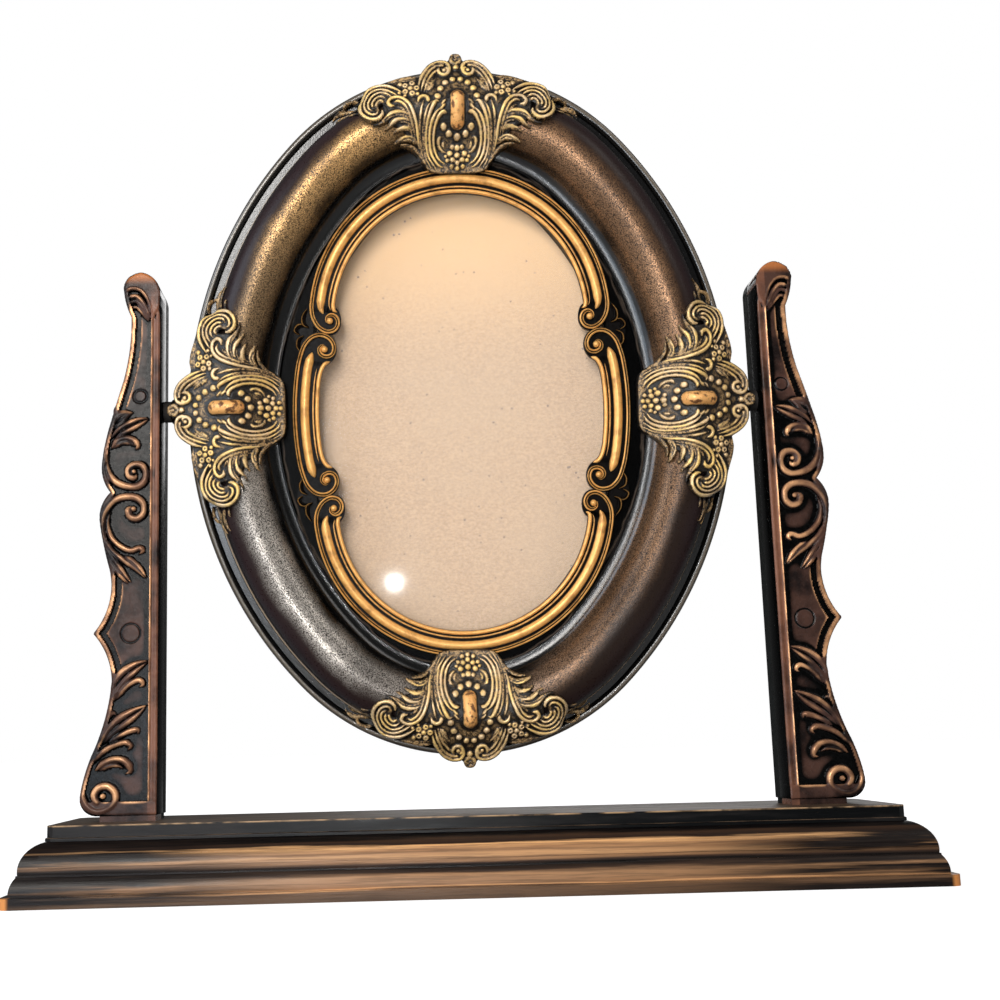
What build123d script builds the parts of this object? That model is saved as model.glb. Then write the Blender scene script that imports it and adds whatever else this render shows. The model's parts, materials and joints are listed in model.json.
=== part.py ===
from build123d import *
import math
import os

# Swivel table mirror: an oval moulded frame with a glazed sight opening, hung between two
# carved posts on a stepped plinth. Millimetres, +Z up, the viewer looks along +Y, and the
# origin is on the table under the middle of the plinth.

# Plinth
base_depth = 83.0
flange_height = 3.9
flange_corner = 4.5
flange_ledge = 3.3
lower_ovolo_height = 6.7
lower_ovolo_reach = 2.0
ovolo_step = 0.5
upper_ovolo_height = 11.1
upper_ovolo_reach = 7.7
base_wall = 2.6
band_low = 2.7
band_height = 4.0
band_rise = 0.7
band_inset = 13.0
plate_height = 5.6
plate_corner = 2.6
plate_bead = 0.6
plate_bead_height = 1.3
cover_thickness = 2.0
cover_gap = 0.2
cover_boss_radius = 4.0
cover_boss_inset = 16.0
cover_boss_bite = 1.0

# Posts
post_clearance = 9.8
post_end_inset = 50.5
post_above_pivot = 55.3
post_depth = 20.0
post_front_depth = 13.2
post_seam = 0.4
post_wall = 2.4
post_foot_height = 2.1
post_foot_width = 21.0
post_foot_inset = 0.6
panel_border = 2.9
panel_recess = 1.3
panel_foot = 7.5
panel_top = 0.911
scroll_width = 2.2
scroll_height = 1.2

# Pivot
sweep_clearance = 19.3
pivot_shank_radius = 2.4
pivot_clearance = 0.08
pivot_head_radius = 4.3
pivot_head_height = 2.9
pivot_seat_depth = 0.7
pivot_engagement = 15.0
pivot_tube_wall = 2.2
washer_radius = 4.2
running_gap = 0.3
thread_fit = 0.02
frame_tilt = 9.4

# Oval frame: a four-centred oval, seen square on
oval_half_width = 109.7
oval_half_height = 138.0
oval_end_centre = 47.0
pivot_above_centre = 2.6
frame_back = 10.0
rim_height = 9.0
rim_bead = 3.2
rim_bead_rise = 1.9
rim_groove_end = 5.8
arris_offset = 6.6
arris_height = 11.9
torus_radius = 11.4
torus_offset = 18.7
torus_height = 13.65
scoop_offset = 35.2
scoop_height = 12.2
bed_offset = 36.5
bed_height = 11.4
sight_offset = 46.4
frame_wall = 2.6
rebate_offset = 43.4
rebate_height = 5.2
rebate_wall = 6.0
lug_radius = 5.0
lug_gap = 3.4
lug_overlap = 3.0

# Scroll liner
liner_arc_inset = 49.3
liner_arc_drop = 40.1
liner_arc_width = 10.4
liner_side_outer = 42.0
liner_side_width = 10.7
liner_base = 2.4
liner_thin_bead = 0.95
liner_wide_bead = 1.8
liner_wide_place = 0.44
liner_groove = 0.6
arc_end_height = 41.0
side_end_drop = 19.0
volute_radius = 4.4
tuft_radius = 2.7

# Ornaments
ornament_end_inset = 20.7
ornament_side_inset = 17.1
glue_line = 0.06
ornament_thickness = 4.4
overhang_floor = 15.3
overhang_reach = 9.0
cap_inner = 42.6
boss_length = 14.4
boss_radius = 3.0
boss_rise = 2.4

# Glass, backing and its fastenings
glass_thickness = 2.0
board_thickness = 2.7
glazing_gap = 0.1
pane_clearance = 0.35
button_length = 17.0
button_width = 7.0
button_thickness = 1.1
button_gap = 0.3
button_angle = 30.0
button_screw_radius = 1.3
button_clearance = 0.08
button_head_radius = 2.7
button_head_height = 1.5
button_screw_depth = 7.0

# Fixing screws from below
post_screw_radius = 1.6
post_screw_length = 17.0
post_screw_head_radius = 3.2
post_screw_head_height = 2.2
post_screw_spread = 11.0
cover_screw_radius = 1.3
cover_screw_length = 8.0
cover_screw_head_radius = 2.6
cover_screw_head_height = 0.9

# Worked out from the sizes above
post_gap = 2 * (oval_half_width + post_clearance)
base_length = post_gap + 2 * post_end_inset
pivot_height = oval_half_height + pivot_above_centre + sweep_clearance
post_height = pivot_height + post_above_pivot
base_height = flange_height + lower_ovolo_height + upper_ovolo_height + plate_height + ovolo_step
plate_inset = flange_ledge + lower_ovolo_reach + ovolo_step + upper_ovolo_reach
plate_length = base_length - 2 * plate_inset
plate_depth = base_depth - 2 * plate_inset
moulding_top = base_height - plate_height
inner_face = post_gap / 2
pivot_z = base_height + pivot_height
end_radius = oval_half_height - oval_end_centre
radius_drop = end_radius - oval_half_width
side_centre = (oval_end_centre ** 2 - radius_drop ** 2) / (-2 * radius_drop)
side_radius = oval_half_width + side_centre
join_angle = math.degrees(math.atan2(oval_end_centre, side_centre))
liner_arc_radius = oval_half_width - liner_arc_inset
liner_arc_centre = oval_half_height - liner_arc_drop - liner_arc_radius
side_end_height = arc_end_height - side_end_drop
button_offset = rebate_offset - rebate_wall / 2


def save(node, shape):
    os.makedirs("parts", exist_ok=True)
    shape.label = node
    export_step(shape, f"parts/{node}.step")


def mirror_pair(shape):
    return mirror(shape, about=Plane.YZ)


# Plinth pieces


def plinth_profile(half, top_half, inset):
    """Half section of the plinth, mirrored: step, two ovolos and the seat of the top plate."""
    z1 = flange_height
    z2 = z1 + lower_ovolo_height
    z3 = z2 + ovolo_step
    z4 = moulding_top
    x0 = half - inset
    x1 = x0 - flange_ledge
    x2 = x1 - lower_ovolo_reach
    x3 = x2 - ovolo_step
    x4 = top_half - inset
    bulge = math.sqrt(0.5)
    lower = ThreePointArc(
        (x1, z1),
        (x2 + lower_ovolo_reach * bulge * 1.12, z1 + lower_ovolo_height * bulge * 0.8),
        (x2, z2),
    )
    upper = ThreePointArc(
        (x3, z3),
        (x4 + upper_ovolo_reach * bulge, z3 + (z4 - z3) * bulge),
        (x4, z4),
    )
    side = Polyline((0, 0), (x0, 0), (x0, z1), (x1, z1))
    step = Polyline((x2, z2), (x2, z3), (x3, z3))
    close = Line((x4, z4), (0, z4))
    axis_line = Line((0, z4), (0, 0))
    half_face = make_face([side, lower, step, upper, close, axis_line])
    return half_face + mirror(half_face, about=Plane.YZ)


def mitred(profile_long, profile_short, length, depth):
    """A body with one moulding on all four sides: the two extruded sections cross."""
    along_x = extrude(Plane.YZ * profile_short, length / 2 + 1, both=True)
    along_y = extrude(Plane.XZ * profile_long, depth / 2 + 1, both=True)
    return along_x & along_y


def base_moulding():
    outer = mitred(
        plinth_profile(base_length / 2, plate_length / 2, 0),
        plinth_profile(base_depth / 2, plate_depth / 2, 0),
        base_length,
        base_depth,
    )
    corners = outer.edges().filter_by(Axis.Z).group_by(Axis.Z)[0]
    outer = fillet(corners, flange_corner)
    inside = plate_inset + base_wall
    cavity = Box(
        base_length - 2 * inside, base_depth - 2 * inside, moulding_top - base_wall,
        align=(Align.CENTER, Align.CENTER, Align.MIN),
    )
    seat = Box(
        base_length - 2 * (flange_ledge + base_wall), base_depth - 2 * (flange_ledge + base_wall),
        cover_thickness + cover_gap, align=(Align.CENTER, Align.CENTER, Align.MIN),
    )
    body = outer + base_bands() - cavity - seat
    for x, y in cover_screw_places():
        boss = Pos(x, y, cover_thickness + cover_gap) * Cylinder(
            cover_boss_radius, moulding_top - base_wall - cover_thickness - cover_gap,
            align=(Align.CENTER, Align.CENTER, Align.MIN),
        )
        pilot = Pos(x, y, 0) * Cylinder(
            cover_screw_radius + thread_fit, cover_screw_length + 0.5,
            align=(Align.CENTER, Align.CENTER, Align.MIN),
        )
        body = body + boss - pilot
    for x in post_screw_places():
        body -= Pos(x, 0, moulding_top) * Cylinder(post_screw_radius + cover_gap, 4 * base_wall)
    return body


def base_bands():
    """The raised band along the front and the back of the large ovolo, short of the corners."""
    profile = plinth_profile(base_depth / 2, plate_depth / 2, 0)
    skin = extrude(Plane.YZ * offset(profile, amount=band_rise), base_length / 2 - band_inset, both=True)
    low = flange_height + lower_ovolo_height + ovolo_step + band_low
    window = Pos(0, 0, low) * Box(
        base_length, base_depth, band_height, align=(Align.CENTER, Align.CENTER, Align.MIN)
    )
    return skin & window


def cover_screw_places():
    x = base_length / 2 - plate_inset - base_wall - cover_boss_inset
    y = base_depth / 2 - plate_inset - base_wall - cover_boss_radius + cover_boss_bite
    return [(sx * x, sy * y) for sx in (-1, 1) for sy in (-1, 1)]


def base_plate():
    plate = Pos(0, 0, moulding_top) * Box(
        plate_length, plate_depth, plate_height, align=(Align.CENTER, Align.CENTER, Align.MIN)
    )
    plate = chamfer(plate.edges().filter_by(Axis.Z), plate_corner)
    bead = Pos(0, 0, moulding_top) * Box(
        plate_length + 2 * plate_bead, plate_depth + 2 * plate_bead, plate_bead_height,
        align=(Align.CENTER, Align.CENTER, Align.MIN),
    )
    bead = chamfer(bead.edges().filter_by(Axis.Z), plate_corner)
    bead = fillet(bead.faces().sort_by(Axis.Z)[-1].edges(), plate_bead * 0.9)
    plate = plate + bead
    for x in post_screw_places():
        plate -= Pos(x, 0, base_height) * Cylinder(post_screw_radius + cover_gap, 4 * plate_height)
    return plate


def base_cover():
    inset = flange_ledge + base_wall + cover_gap
    cover = Box(
        base_length - 2 * inset, base_depth - 2 * inset, cover_thickness,
        align=(Align.CENTER, Align.CENTER, Align.MIN),
    )
    cover = Pos(0, 0, cover_gap) * cover
    for x, y in cover_screw_places():
        cover -= Pos(x, y, 0) * Cylinder(cover_screw_radius + cover_gap, 4 * cover_thickness)
        cover -= Pos(x, y, cover_gap) * Cylinder(
            cover_screw_head_radius + cover_gap, 2 * cover_screw_head_height
        )
    return cover


def wood_screw(radius, length, head_radius, head_height):
    """Flat-bottomed pan head, shank upward from z = 0; the head hangs below."""
    shank = Cylinder(radius, length, align=(Align.CENTER, Align.CENTER, Align.MIN))
    head = Pos(0, 0, -head_height) * Cylinder(
        head_radius, head_height, align=(Align.CENTER, Align.CENTER, Align.MIN)
    )
    head = chamfer(head.edges().sort_by(Axis.Z)[0], head_height * 0.4)
    return shank + head


def cover_screws():
    screws = []
    for x, y in cover_screw_places():
        z = cover_gap + cover_screw_head_height
        screw = wood_screw(
            cover_screw_radius, cover_screw_length - z, cover_screw_head_radius,
            cover_screw_head_height - 0.1,
        )
        screws.append(Pos(x, y, z) * screw)
    return Compound(children=screws)


# Posts


def drawn(d, share):
    """A point of the left post: d outward from its inner face, at a share of its height."""
    return (-inner_face - d, base_height + share * post_height)


def arc(first, middle, last):
    return ThreePointArc(drawn(*first), drawn(*middle), drawn(*last))


def post_face():
    """Outline of a post: curled head, neck, two scroll bulges, cusp and sweeping foot."""
    z0 = post_foot_height / post_height
    return make_face([
        Line(drawn(0, z0), drawn(0, 0.9549)),
        arc((0, 0.9549), (1.9, 0.9833), (7.0, 0.9991)),
        arc((7.0, 0.9991), (12.2, 0.9926), (14.7, 0.9707)),
        arc((14.7, 0.9707), (13.9, 0.9442), (11.5, 0.9136)),
        arc((11.5, 0.9136), (12.0, 0.8550), (14.4, 0.7923)),
        Line(drawn(14.4, 0.7923), drawn(19.1, 0.7165)),
        arc((19.1, 0.7165), (21.7, 0.6645), (22.5, 0.6329)),
        arc((22.5, 0.6329), (21.7, 0.6069), (19.0, 0.5841)),
        arc((19.0, 0.5841), (22.1, 0.5632), (23.1, 0.5353)),
        arc((23.1, 0.5353), (21.5, 0.4907), (18.9, 0.4424)),
        arc((18.9, 0.4424), (19.2, 0.3787), (24.9, 0.3285)),
        arc((24.9, 0.3285), (18.9, 0.2797), (17.6, 0.2416)),
        arc((17.6, 0.2416), (19.5, 0.1873), (23.8, 0.1255)),
        arc((23.8, 0.1255), (27.1, 0.0855), (29.1, 0.0428)),
        arc((29.1, 0.0428), (27.4, 0.0195), (22.5, z0)),
        Line(drawn(22.5, z0), drawn(0, z0)),
    ])


def panel_face():
    """The sunk panel of the post's front, inside its raised border."""
    inner = offset(post_face(), amount=-panel_border)
    clip_low = base_height + panel_foot
    clip_high = base_height + panel_top * post_height
    window = Pos(-inner_face - 20, (clip_low + clip_high) / 2) * Rectangle(
        60, clip_high - clip_low
    )
    return inner & window


def scroll_ridges():
    """The two facing C scrolls at the waist and the volute at the foot, as traced ridges."""
    ridges = []
    paths = [
        [arc((12.5, 0.6980), (20.4, 0.6413), (9.6, 0.5948)),
         arc((9.6, 0.5948), (5.2, 0.6194), (9.4, 0.6403))],
        [arc((10.2, 0.4577), (20.6, 0.5181), (10.0, 0.5743)),
         arc((10.0, 0.5743), (5.6, 0.5511), (9.8, 0.5307))],
        [arc((24.0, 0.1022), (26.6, 0.0465), (20.0, 0.0195)),
         arc((20.0, 0.0195), (15.4, 0.0400), (19.8, 0.0586))],
    ]
    for path in paths:
        ridges.append(trace(path, line_width=scroll_width))
    return ridges


def left_post_front():
    face = post_face()
    y0 = -post_depth / 2
    skin = post_wall + panel_recess
    shell = Pos(0, y0, 0) * extrude(Plane.XZ * face, -post_front_depth)
    hollow = offset(face, amount=-post_wall)
    body = shell - Pos(0, y0 + skin, 0) * extrude(
        Plane.XZ * hollow, -(post_front_depth - skin)
    )
    foot = Pos(-inner_face - post_foot_inset - post_foot_width / 2, y0 + post_front_depth / 2
               + post_foot_inset / 2, base_height) * Box(
        post_foot_width, post_front_depth - post_foot_inset, post_foot_height + post_wall,
        align=(Align.CENTER, Align.CENTER, Align.MIN),
    )
    body += foot
    tube_radius = pivot_shank_radius + pivot_tube_wall
    tube = Pos(-inner_face, 0, pivot_z) * Rot(0, -90, 0) * Cylinder(
        tube_radius, 60, align=(Align.CENTER, Align.CENTER, Align.MIN)
    )
    body += tube & shell
    recess = Pos(0, y0, 0) * extrude(Plane.XZ * panel_face(), -panel_recess)
    body -= recess
    for ridge in scroll_ridges():
        raised = Pos(0, y0 + panel_recess - scroll_height, 0) * extrude(
            Plane.XZ * ridge, -(scroll_height + 0.2)
        )
        body += raised & shell
    for x in post_screw_places()[:2]:
        boss = Pos(x, 0, base_height) * Cylinder(
            post_screw_radius + post_wall, post_screw_length,
            align=(Align.CENTER, Align.CENTER, Align.MIN),
        )
        body += boss & shell
        body -= Pos(x, 0, base_height) * Cylinder(
            post_screw_radius + thread_fit, 2 * post_screw_length
        )
    return body - pivot_cuts()


def pivot_cuts():
    """The through bore of the pivot and the flat seat of its head, on the left post."""
    bore = Pos(-inner_face - 15, 0, pivot_z) * Rot(0, 90, 0) * Cylinder(
        pivot_shank_radius + pivot_clearance, 60
    )
    seat = Pos(-head_plane(), 0, pivot_z) * Rot(0, -90, 0) * Cylinder(
        pivot_head_radius + pivot_seat_depth, 20, align=(Align.CENTER, Align.CENTER, Align.MIN)
    )
    return bore + seat


def post_width_at_pivot():
    probe = Pos(-inner_face - 15, pivot_z) * Rectangle(60, 0.02)
    return (post_face() & probe).bounding_box().size.X


def head_plane():
    return inner_face + post_width_at_pivot() - pivot_seat_depth


def left_post_back():
    """The rear half of a post, a shallow tray that closes the front shell."""
    face = post_face()
    y0 = -post_depth / 2 + post_front_depth + post_seam
    depth = post_depth - post_front_depth - post_seam
    body = Pos(0, y0, 0) * extrude(Plane.XZ * face, -depth)
    hollow = offset(face, amount=-post_wall)
    body -= Pos(0, y0, 0) * extrude(Plane.XZ * hollow, -(depth - post_wall))
    foot = Pos(-inner_face - post_foot_inset - post_foot_width / 2,
               y0 + (depth - post_foot_inset) / 2, base_height) * Box(
        post_foot_width, depth - post_foot_inset, post_foot_height + post_wall,
        align=(Align.CENTER, Align.CENTER, Align.MIN),
    )
    return body + foot - pivot_cuts()


def post_screw_places():
    x = inner_face + post_foot_inset + post_foot_width / 2
    s = post_screw_spread / 2
    return [-x - s, -x + s, x - s, x + s]


def post_screws():
    """Long screws from inside the plinth, through its roof and top plate, into the posts."""
    screws = []
    for x in post_screw_places():
        screw = wood_screw(
            post_screw_radius, plate_height + base_wall + post_screw_length - 1,
            post_screw_head_radius, post_screw_head_height,
        )
        screws.append(Pos(x, 0, moulding_top - base_wall) * screw)
    return Compound(children=screws)


# The oval, in the frame's own place: pivot at the origin, viewer towards -Y


def oval_arcs():
    """The four arcs of the oval: centre x, centre z, outer radius, start angle and sweep."""
    a = join_angle
    return [
        (-side_centre, 0, side_radius, -a, 2 * a),
        (0, oval_end_centre, end_radius, a, 180 - 2 * a),
        (side_centre, 0, side_radius, 180 - a, 2 * a),
        (0, -oval_end_centre, end_radius, 180 + a, 180 - 2 * a),
    ]


def revolve_section(section, centre_x, centre_z, radius, start, sweep):
    """Turn a section, drawn as offset in from the edge and height off the back, on one arc."""
    a = math.radians(start)
    cz = centre_z - pivot_above_centre
    plane = Plane(
        origin=(centre_x + radius * math.cos(a), frame_back, cz + radius * math.sin(a)),
        x_dir=(-math.cos(a), 0, -math.sin(a)),
        z_dir=(-math.sin(a), 0, math.cos(a)),
    )
    axis = Axis((centre_x, frame_back, cz), (0, -1, 0))
    return revolve(plane * section, axis, sweep)


def oval_ring(section):
    pieces = [revolve_section(section, *one) for one in oval_arcs()]
    ring = pieces[0]
    for piece in pieces[1:]:
        ring += piece
    return ring


def torus_point(radius, angle):
    """A point of the big torus's section, the angle counted from straight forward, inward."""
    a = math.radians(angle)
    return (torus_offset + radius * math.sin(a), torus_height + radius * math.cos(a))


def moulding_edge():
    """Front line of the moulding: rim bead, groove, arris, the big torus, a scoop and a lip."""
    h = rim_height
    b = rim_bead
    r = torus_radius
    foot = torus_point(r, -90)
    brow = torus_point(r, 60)
    fall = (brow[0] + 1.0, brow[1] - math.sqrt(3))
    scoop = (scoop_offset - 4.3, scoop_height + 1.9)
    lip = (scoop_offset + bed_offset) / 2
    return [
        ThreePointArc((0, h), (b / 2, h + rim_bead_rise), (b, h + 0.6)),
        Polyline(
            (b, h + 0.6), (b + 0.4, h - 0.1), (rim_groove_end, h - 0.1), (arris_offset, arris_height),
            (foot[0], arris_height - 0.3), foot,
        ),
        ThreePointArc(foot, torus_point(r, -15), brow),
        Line(brow, fall),
        ThreePointArc(fall, scoop, (scoop_offset, scoop_height)),
        ThreePointArc(
            (scoop_offset, scoop_height), (lip, scoop_height + 0.8), (bed_offset, scoop_height)
        ),
    ]


def moulding_solid_section():
    """The moulding as if it were solid: everything between its face and its back."""
    rest = Polyline(
        (bed_offset, scoop_height), (bed_offset, bed_height), (sight_offset, bed_height),
        (sight_offset, 0), (0, 0), (0, rim_height),
    )
    return make_face(moulding_edge() + [rest])


def moulding_section():
    """The moulded wall: hollow behind the torus, with a rebate for the glass and the board."""
    w = frame_wall
    r = torus_radius - w
    ceiling = bed_height - w
    wall_in = rebate_offset - rebate_wall
    low = rim_height - w
    left = torus_point(r, -90)
    right = torus_point(r, 60)
    hollow = make_face([
        Polyline((wall_in, 0), (w, 0), (w, low), (arris_offset + w / 2, low), left),
        ThreePointArc(left, torus_point(r, -15), right),
        Polyline(right, (right[0] + 1.4, right[1] - 3), (scoop_offset - 4.6, scoop_height - 1.2),
                 (scoop_offset - w / 2, ceiling), (wall_in, ceiling), (wall_in, 0)),
    ])
    rebate = make_face(Polyline(
        (rebate_offset, -1), (rebate_offset, rebate_height), (sight_offset + 1, rebate_height),
        (sight_offset + 1, -1), (rebate_offset, -1),
    ))
    return moulding_solid_section() - hollow - rebate


def button_places():
    """Where the four turn buttons are screwed: x, z and the angle they point along."""
    places = []
    r = side_radius - button_offset
    for side in (1, -1):
        for rise in (1, -1):
            a = math.radians(button_angle)
            x = side * (-side_centre + r * math.cos(a))
            z = rise * r * math.sin(a) - pivot_above_centre
            inward = math.degrees(math.atan2(-rise * math.sin(a), -side * math.cos(a)))
            places.append((x, z, inward))
    return places


def back_cylinder(radius, x, z, y_front, y_back):
    """A round bar along Y between two depths."""
    bar = Pos(x, (y_front + y_back) / 2, z) * Rot(90, 0, 0) * Cylinder(radius, y_back - y_front)
    return bar


def lug(side):
    """The round bar that carries one end of the frame, behind its ornament."""
    inner = inner_face - lug_gap - pivot_engagement - lug_overlap
    return Pos(side * inner, 0, 0) * Rot(0, side * 90, 0) * Cylinder(
        lug_radius, inner_face - lug_gap - inner, align=(Align.CENTER, Align.CENTER, Align.MIN)
    )


def oval_frame():
    ring = oval_ring(moulding_section())
    for x, z, _ in button_places():
        ring -= back_cylinder(
            button_screw_radius + thread_fit, x, z, frame_back - button_screw_depth - 0.4,
            frame_back + 1,
        )
    for side in (-1, 1):
        hole = Pos(side * (inner_face - lug_gap), 0, 0) * Rot(0, -side * 90, 0) * Cylinder(
            pivot_shank_radius + thread_fit, pivot_engagement + 1,
            align=(Align.CENTER, Align.CENTER, Align.MIN),
        )
        ring = ring + lug(side) - hole
    return ring


def sector(section, side, start, end):
    """The same turned section between two angles of one side arc, right or left."""
    if side > 0:
        return revolve_section(section, -side_centre, 0, side_radius, start, end - start)
    return revolve_section(section, side_centre, 0, side_radius, 180 - end, end - start)


# Scroll liner


def liner_section(outer, width):
    """Flat strip with a thin bead on each edge and a wide bead between two grooves."""
    h0 = bed_height + glue_line
    h1 = h0 + liner_base
    h2 = h1 - liner_groove
    t = 2 * liner_thin_bead
    w = liner_wide_bead
    inner = outer + width
    middle = outer + width * liner_wide_place
    return make_face([
        Line((outer, h0), (outer, h1)),
        ThreePointArc((outer, h1), (outer + t / 2, h1 + t / 2), (outer + t, h1)),
        Polyline((outer + t, h1), (outer + t, h2), (middle - w, h2)),
        ThreePointArc((middle - w, h2), (middle, h2 + 1.2 * w), (middle + w, h2)),
        Polyline((middle + w, h2), (inner - t, h2), (inner - t, h1)),
        ThreePointArc((inner - t, h1), (inner - t / 2, h1 + t / 2), (inner, h1)),
        Polyline((inner, h1), (inner, h0), (outer, h0)),
    ])


def side_edge_at(offset_in, height):
    """How far from the middle the side arc runs, the given distance inside the frame's edge."""
    return math.sqrt((side_radius - offset_in) ** 2 - height ** 2) - side_centre


def liner_corner():
    """Where an arc and a side scroll curl in to a pair of volutes: upper right, drawn once."""
    ax, az = liner_arc_radius - 8.3, arc_end_height - 4.2
    bx, bz = side_edge_at(liner_side_outer, side_end_height) - 11.7, side_end_height + 4.6
    r = volute_radius
    lobes = [
        make_face([
            ThreePointArc((ax + 8.2, az + 5.2), (ax + 5.4, az - 2.4), (ax + 0.4, az - r)),
            ThreePointArc((ax + 0.4, az - r), (ax - r, az - 0.4), (ax - 2.2, az + 5.2)),
            Line((ax - 2.2, az + 5.2), (ax + 8.2, az + 5.2)),
        ]),
        make_face([
            ThreePointArc((bx + 12.0, bz - 6.0), (bx + 8.8, bz + 2.8), (bx + 0.8, bz + r + 1.9)),
            ThreePointArc((bx + 0.8, bz + r + 1.9), (bx - r, bz + 0.8), (bx + 1.6, bz - 6.0)),
            Line((bx + 1.6, bz - 6.0), (bx + 12.0, bz - 6.0)),
        ]),
    ]
    tufts = ((ax + 7.9, az + 1.0), (ax + 9.9, az - 3.3), (ax + 10.9, az - 7.8))
    lobes += [Pos(*spot) * Circle(tuft_radius) for spot in tufts]
    y_seat = frame_back - bed_height - glue_line
    y_top = y_seat - liner_base
    plate = Part()
    for lobe in lobes:
        plate += Pos(0, y_seat, 0) * extrude(Plane.XZ * lobe, liner_base)
    front = Pos(ax, y_top - 10, az) * Box(60, 20, 60)
    for x, z in ((ax, az), (bx, bz)):
        rim = Pos(x, y_top, z) * Rot(90, 0, 0) * Torus(r - liner_thin_bead, liner_thin_bead)
        plate += (rim + Pos(x, y_top, z) * Sphere(liner_thin_bead * 1.6)) & front
    return plate


def four_ways(shape):
    """A corner piece of the liner in all four corners of the oval."""
    right = shape + mirror(shape, about=Plane.XY)
    return Pos(0, 0, -pivot_above_centre) * (right + mirror(right, about=Plane.YZ))


def scroll_liner():
    arcs = liner_section(0, liner_arc_width)
    sides = liner_section(liner_side_outer, liner_side_width)
    side_mid = side_radius - liner_side_outer - liner_side_width / 2
    arc_mid = liner_arc_radius - liner_arc_width / 2
    rise = math.degrees(math.asin((arc_end_height - liner_arc_centre) / arc_mid))
    side_end = math.degrees(math.asin(side_end_height / side_mid))
    whole = four_ways(liner_corner())
    for side in (1, -1):
        whole += sector(sides, side, -side_end, side_end)
    for centre, start in ((liner_arc_centre, rise), (-liner_arc_centre, 180 + rise)):
        whole += revolve_section(arcs, 0, centre, liner_arc_radius, start, 180 - 2 * rise)
    return whole


# Ornaments


def ornament_outline():
    """Half outline of an ornament, tip outward (+y), then mirrored; centred on its boss."""
    half = make_face([
        Line((0, -23.0), (0, 24.3)),
        ThreePointArc((0, 24.3), (3.6, 23.0), (4.8, 19.8)),
        ThreePointArc((4.8, 19.8), (12.0, 18.6), (17.0, 13.4)),
        Line((17.0, 13.4), (31.0, 9.4)),
        ThreePointArc((31.0, 9.4), (37.2, 7.0), (39.2, 1.6)),
        ThreePointArc((39.2, 1.6), (37.0, -4.6), (31.0, -6.6)),
        ThreePointArc((31.0, -6.6), (25.0, -10.4), (20.6, -15.4)),
        ThreePointArc((20.6, -15.4), (12.6, -21.2), (0, -23.0)),
    ])
    return half + mirror(half, about=Plane.YZ)


def ornament_cap_section():
    """Room between the moulding's face and the ornament's own swelling front."""
    t = ornament_thickness
    c = torus_offset
    top = torus_height + torus_radius
    low = overhang_floor
    cap = make_face([
        Polyline((cap_inner, 0), (-overhang_reach, 0), (-overhang_reach, low + 2.6)),
        ThreePointArc((-overhang_reach, low + 2.6), (1.0, low + 5.6), (9.6, top + 1.0)),
        ThreePointArc((9.6, top + 1.0), (c, top + t), (c + 9.2, top - 0.8)),
        ThreePointArc(
            (c + 9.2, top - 0.8), (c + 15.0, bed_height + 8.6), (cap_inner, bed_height + 5.6)
        ),
        Line((cap_inner, bed_height + 5.6), (cap_inner, 0)),
    ])
    liner_room = make_face(Polyline(
        (liner_arc_drop - 0.4, 0), (liner_arc_drop - 0.4, bed_height + liner_base + 2.4),
        (sight_offset, bed_height + liner_base + 2.4), (sight_offset, 0),
        (liner_arc_drop - 0.4, 0),
    ))
    below = make_face(Polyline(
        (-overhang_reach - 1, -1), (-overhang_reach - 1, low), (0, low), (0, -1),
        (-overhang_reach - 1, -1),
    ))
    return cap - offset(moulding_solid_section(), amount=glue_line) - liner_room - below


def ornament(where):
    """One of four like castings, laid over the moulding at the top, bottom, left or right."""
    arcs = {"right": 0, "top": 1, "left": 2, "bottom": 3}[where]
    on_end = where in ("top", "bottom")
    angle = 90 * arcs
    reach = oval_half_width - ornament_side_inset
    if on_end:
        reach = oval_half_height - ornament_end_inset
    cx, cz, radius, _, _ = oval_arcs()[arcs]
    spread = 40.0 if on_end else 21.0
    cap = revolve_section(ornament_cap_section(), cx, cz, radius, angle - spread, 2 * spread)
    a = math.radians(angle)
    px = reach * math.cos(a)
    pz = reach * math.sin(a) - (pivot_above_centre if on_end else 0)
    place = Plane(
        origin=(px, frame_back, pz), x_dir=(math.sin(a), 0, -math.cos(a)), z_dir=(0, -1, 0)
    )
    body = cap & extrude(place * ornament_outline(), 60)
    if not on_end:
        side = 1 if where == "right" else -1
        body -= Pos(side * inner_face, 0, 0) * Rot(0, 90, 0) * Cylinder(
            lug_radius + glue_line, 2 * (lug_gap + pivot_engagement + 4)
        )
    top = torus_height + torus_radius + ornament_thickness + boss_rise - boss_radius
    half = boss_length / 2 - boss_radius
    boss = Pos(0, 0, top) * (
        Rot(90, 0, 0) * Cylinder(boss_radius, 2 * half)
        + Pos(0, half, 0) * Sphere(boss_radius) + Pos(0, -half, 0) * Sphere(boss_radius)
    )
    return body + place.location * boss


# Glass, board and fastenings of the frame


def oval_plate(offset_in, back, thickness):
    """A flat oval pane whose edge lies the given distance inside the frame's edge."""
    edges = []
    for cx, cz, radius, start, sweep in oval_arcs():
        edges.append(CenterArc((cx, cz), radius - offset_in, start, sweep))
    face = make_face(edges)
    y = frame_back - back
    return Pos(0, y, -pivot_above_centre) * extrude(Plane.XZ * face, thickness)


def glass_pane():
    back = rebate_height - glazing_gap - glass_thickness
    return oval_plate(rebate_offset + pane_clearance, back, glass_thickness)


def backing_board():
    back = rebate_height - 2 * glazing_gap - glass_thickness - board_thickness
    return oval_plate(rebate_offset + pane_clearance, back, board_thickness)


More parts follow.
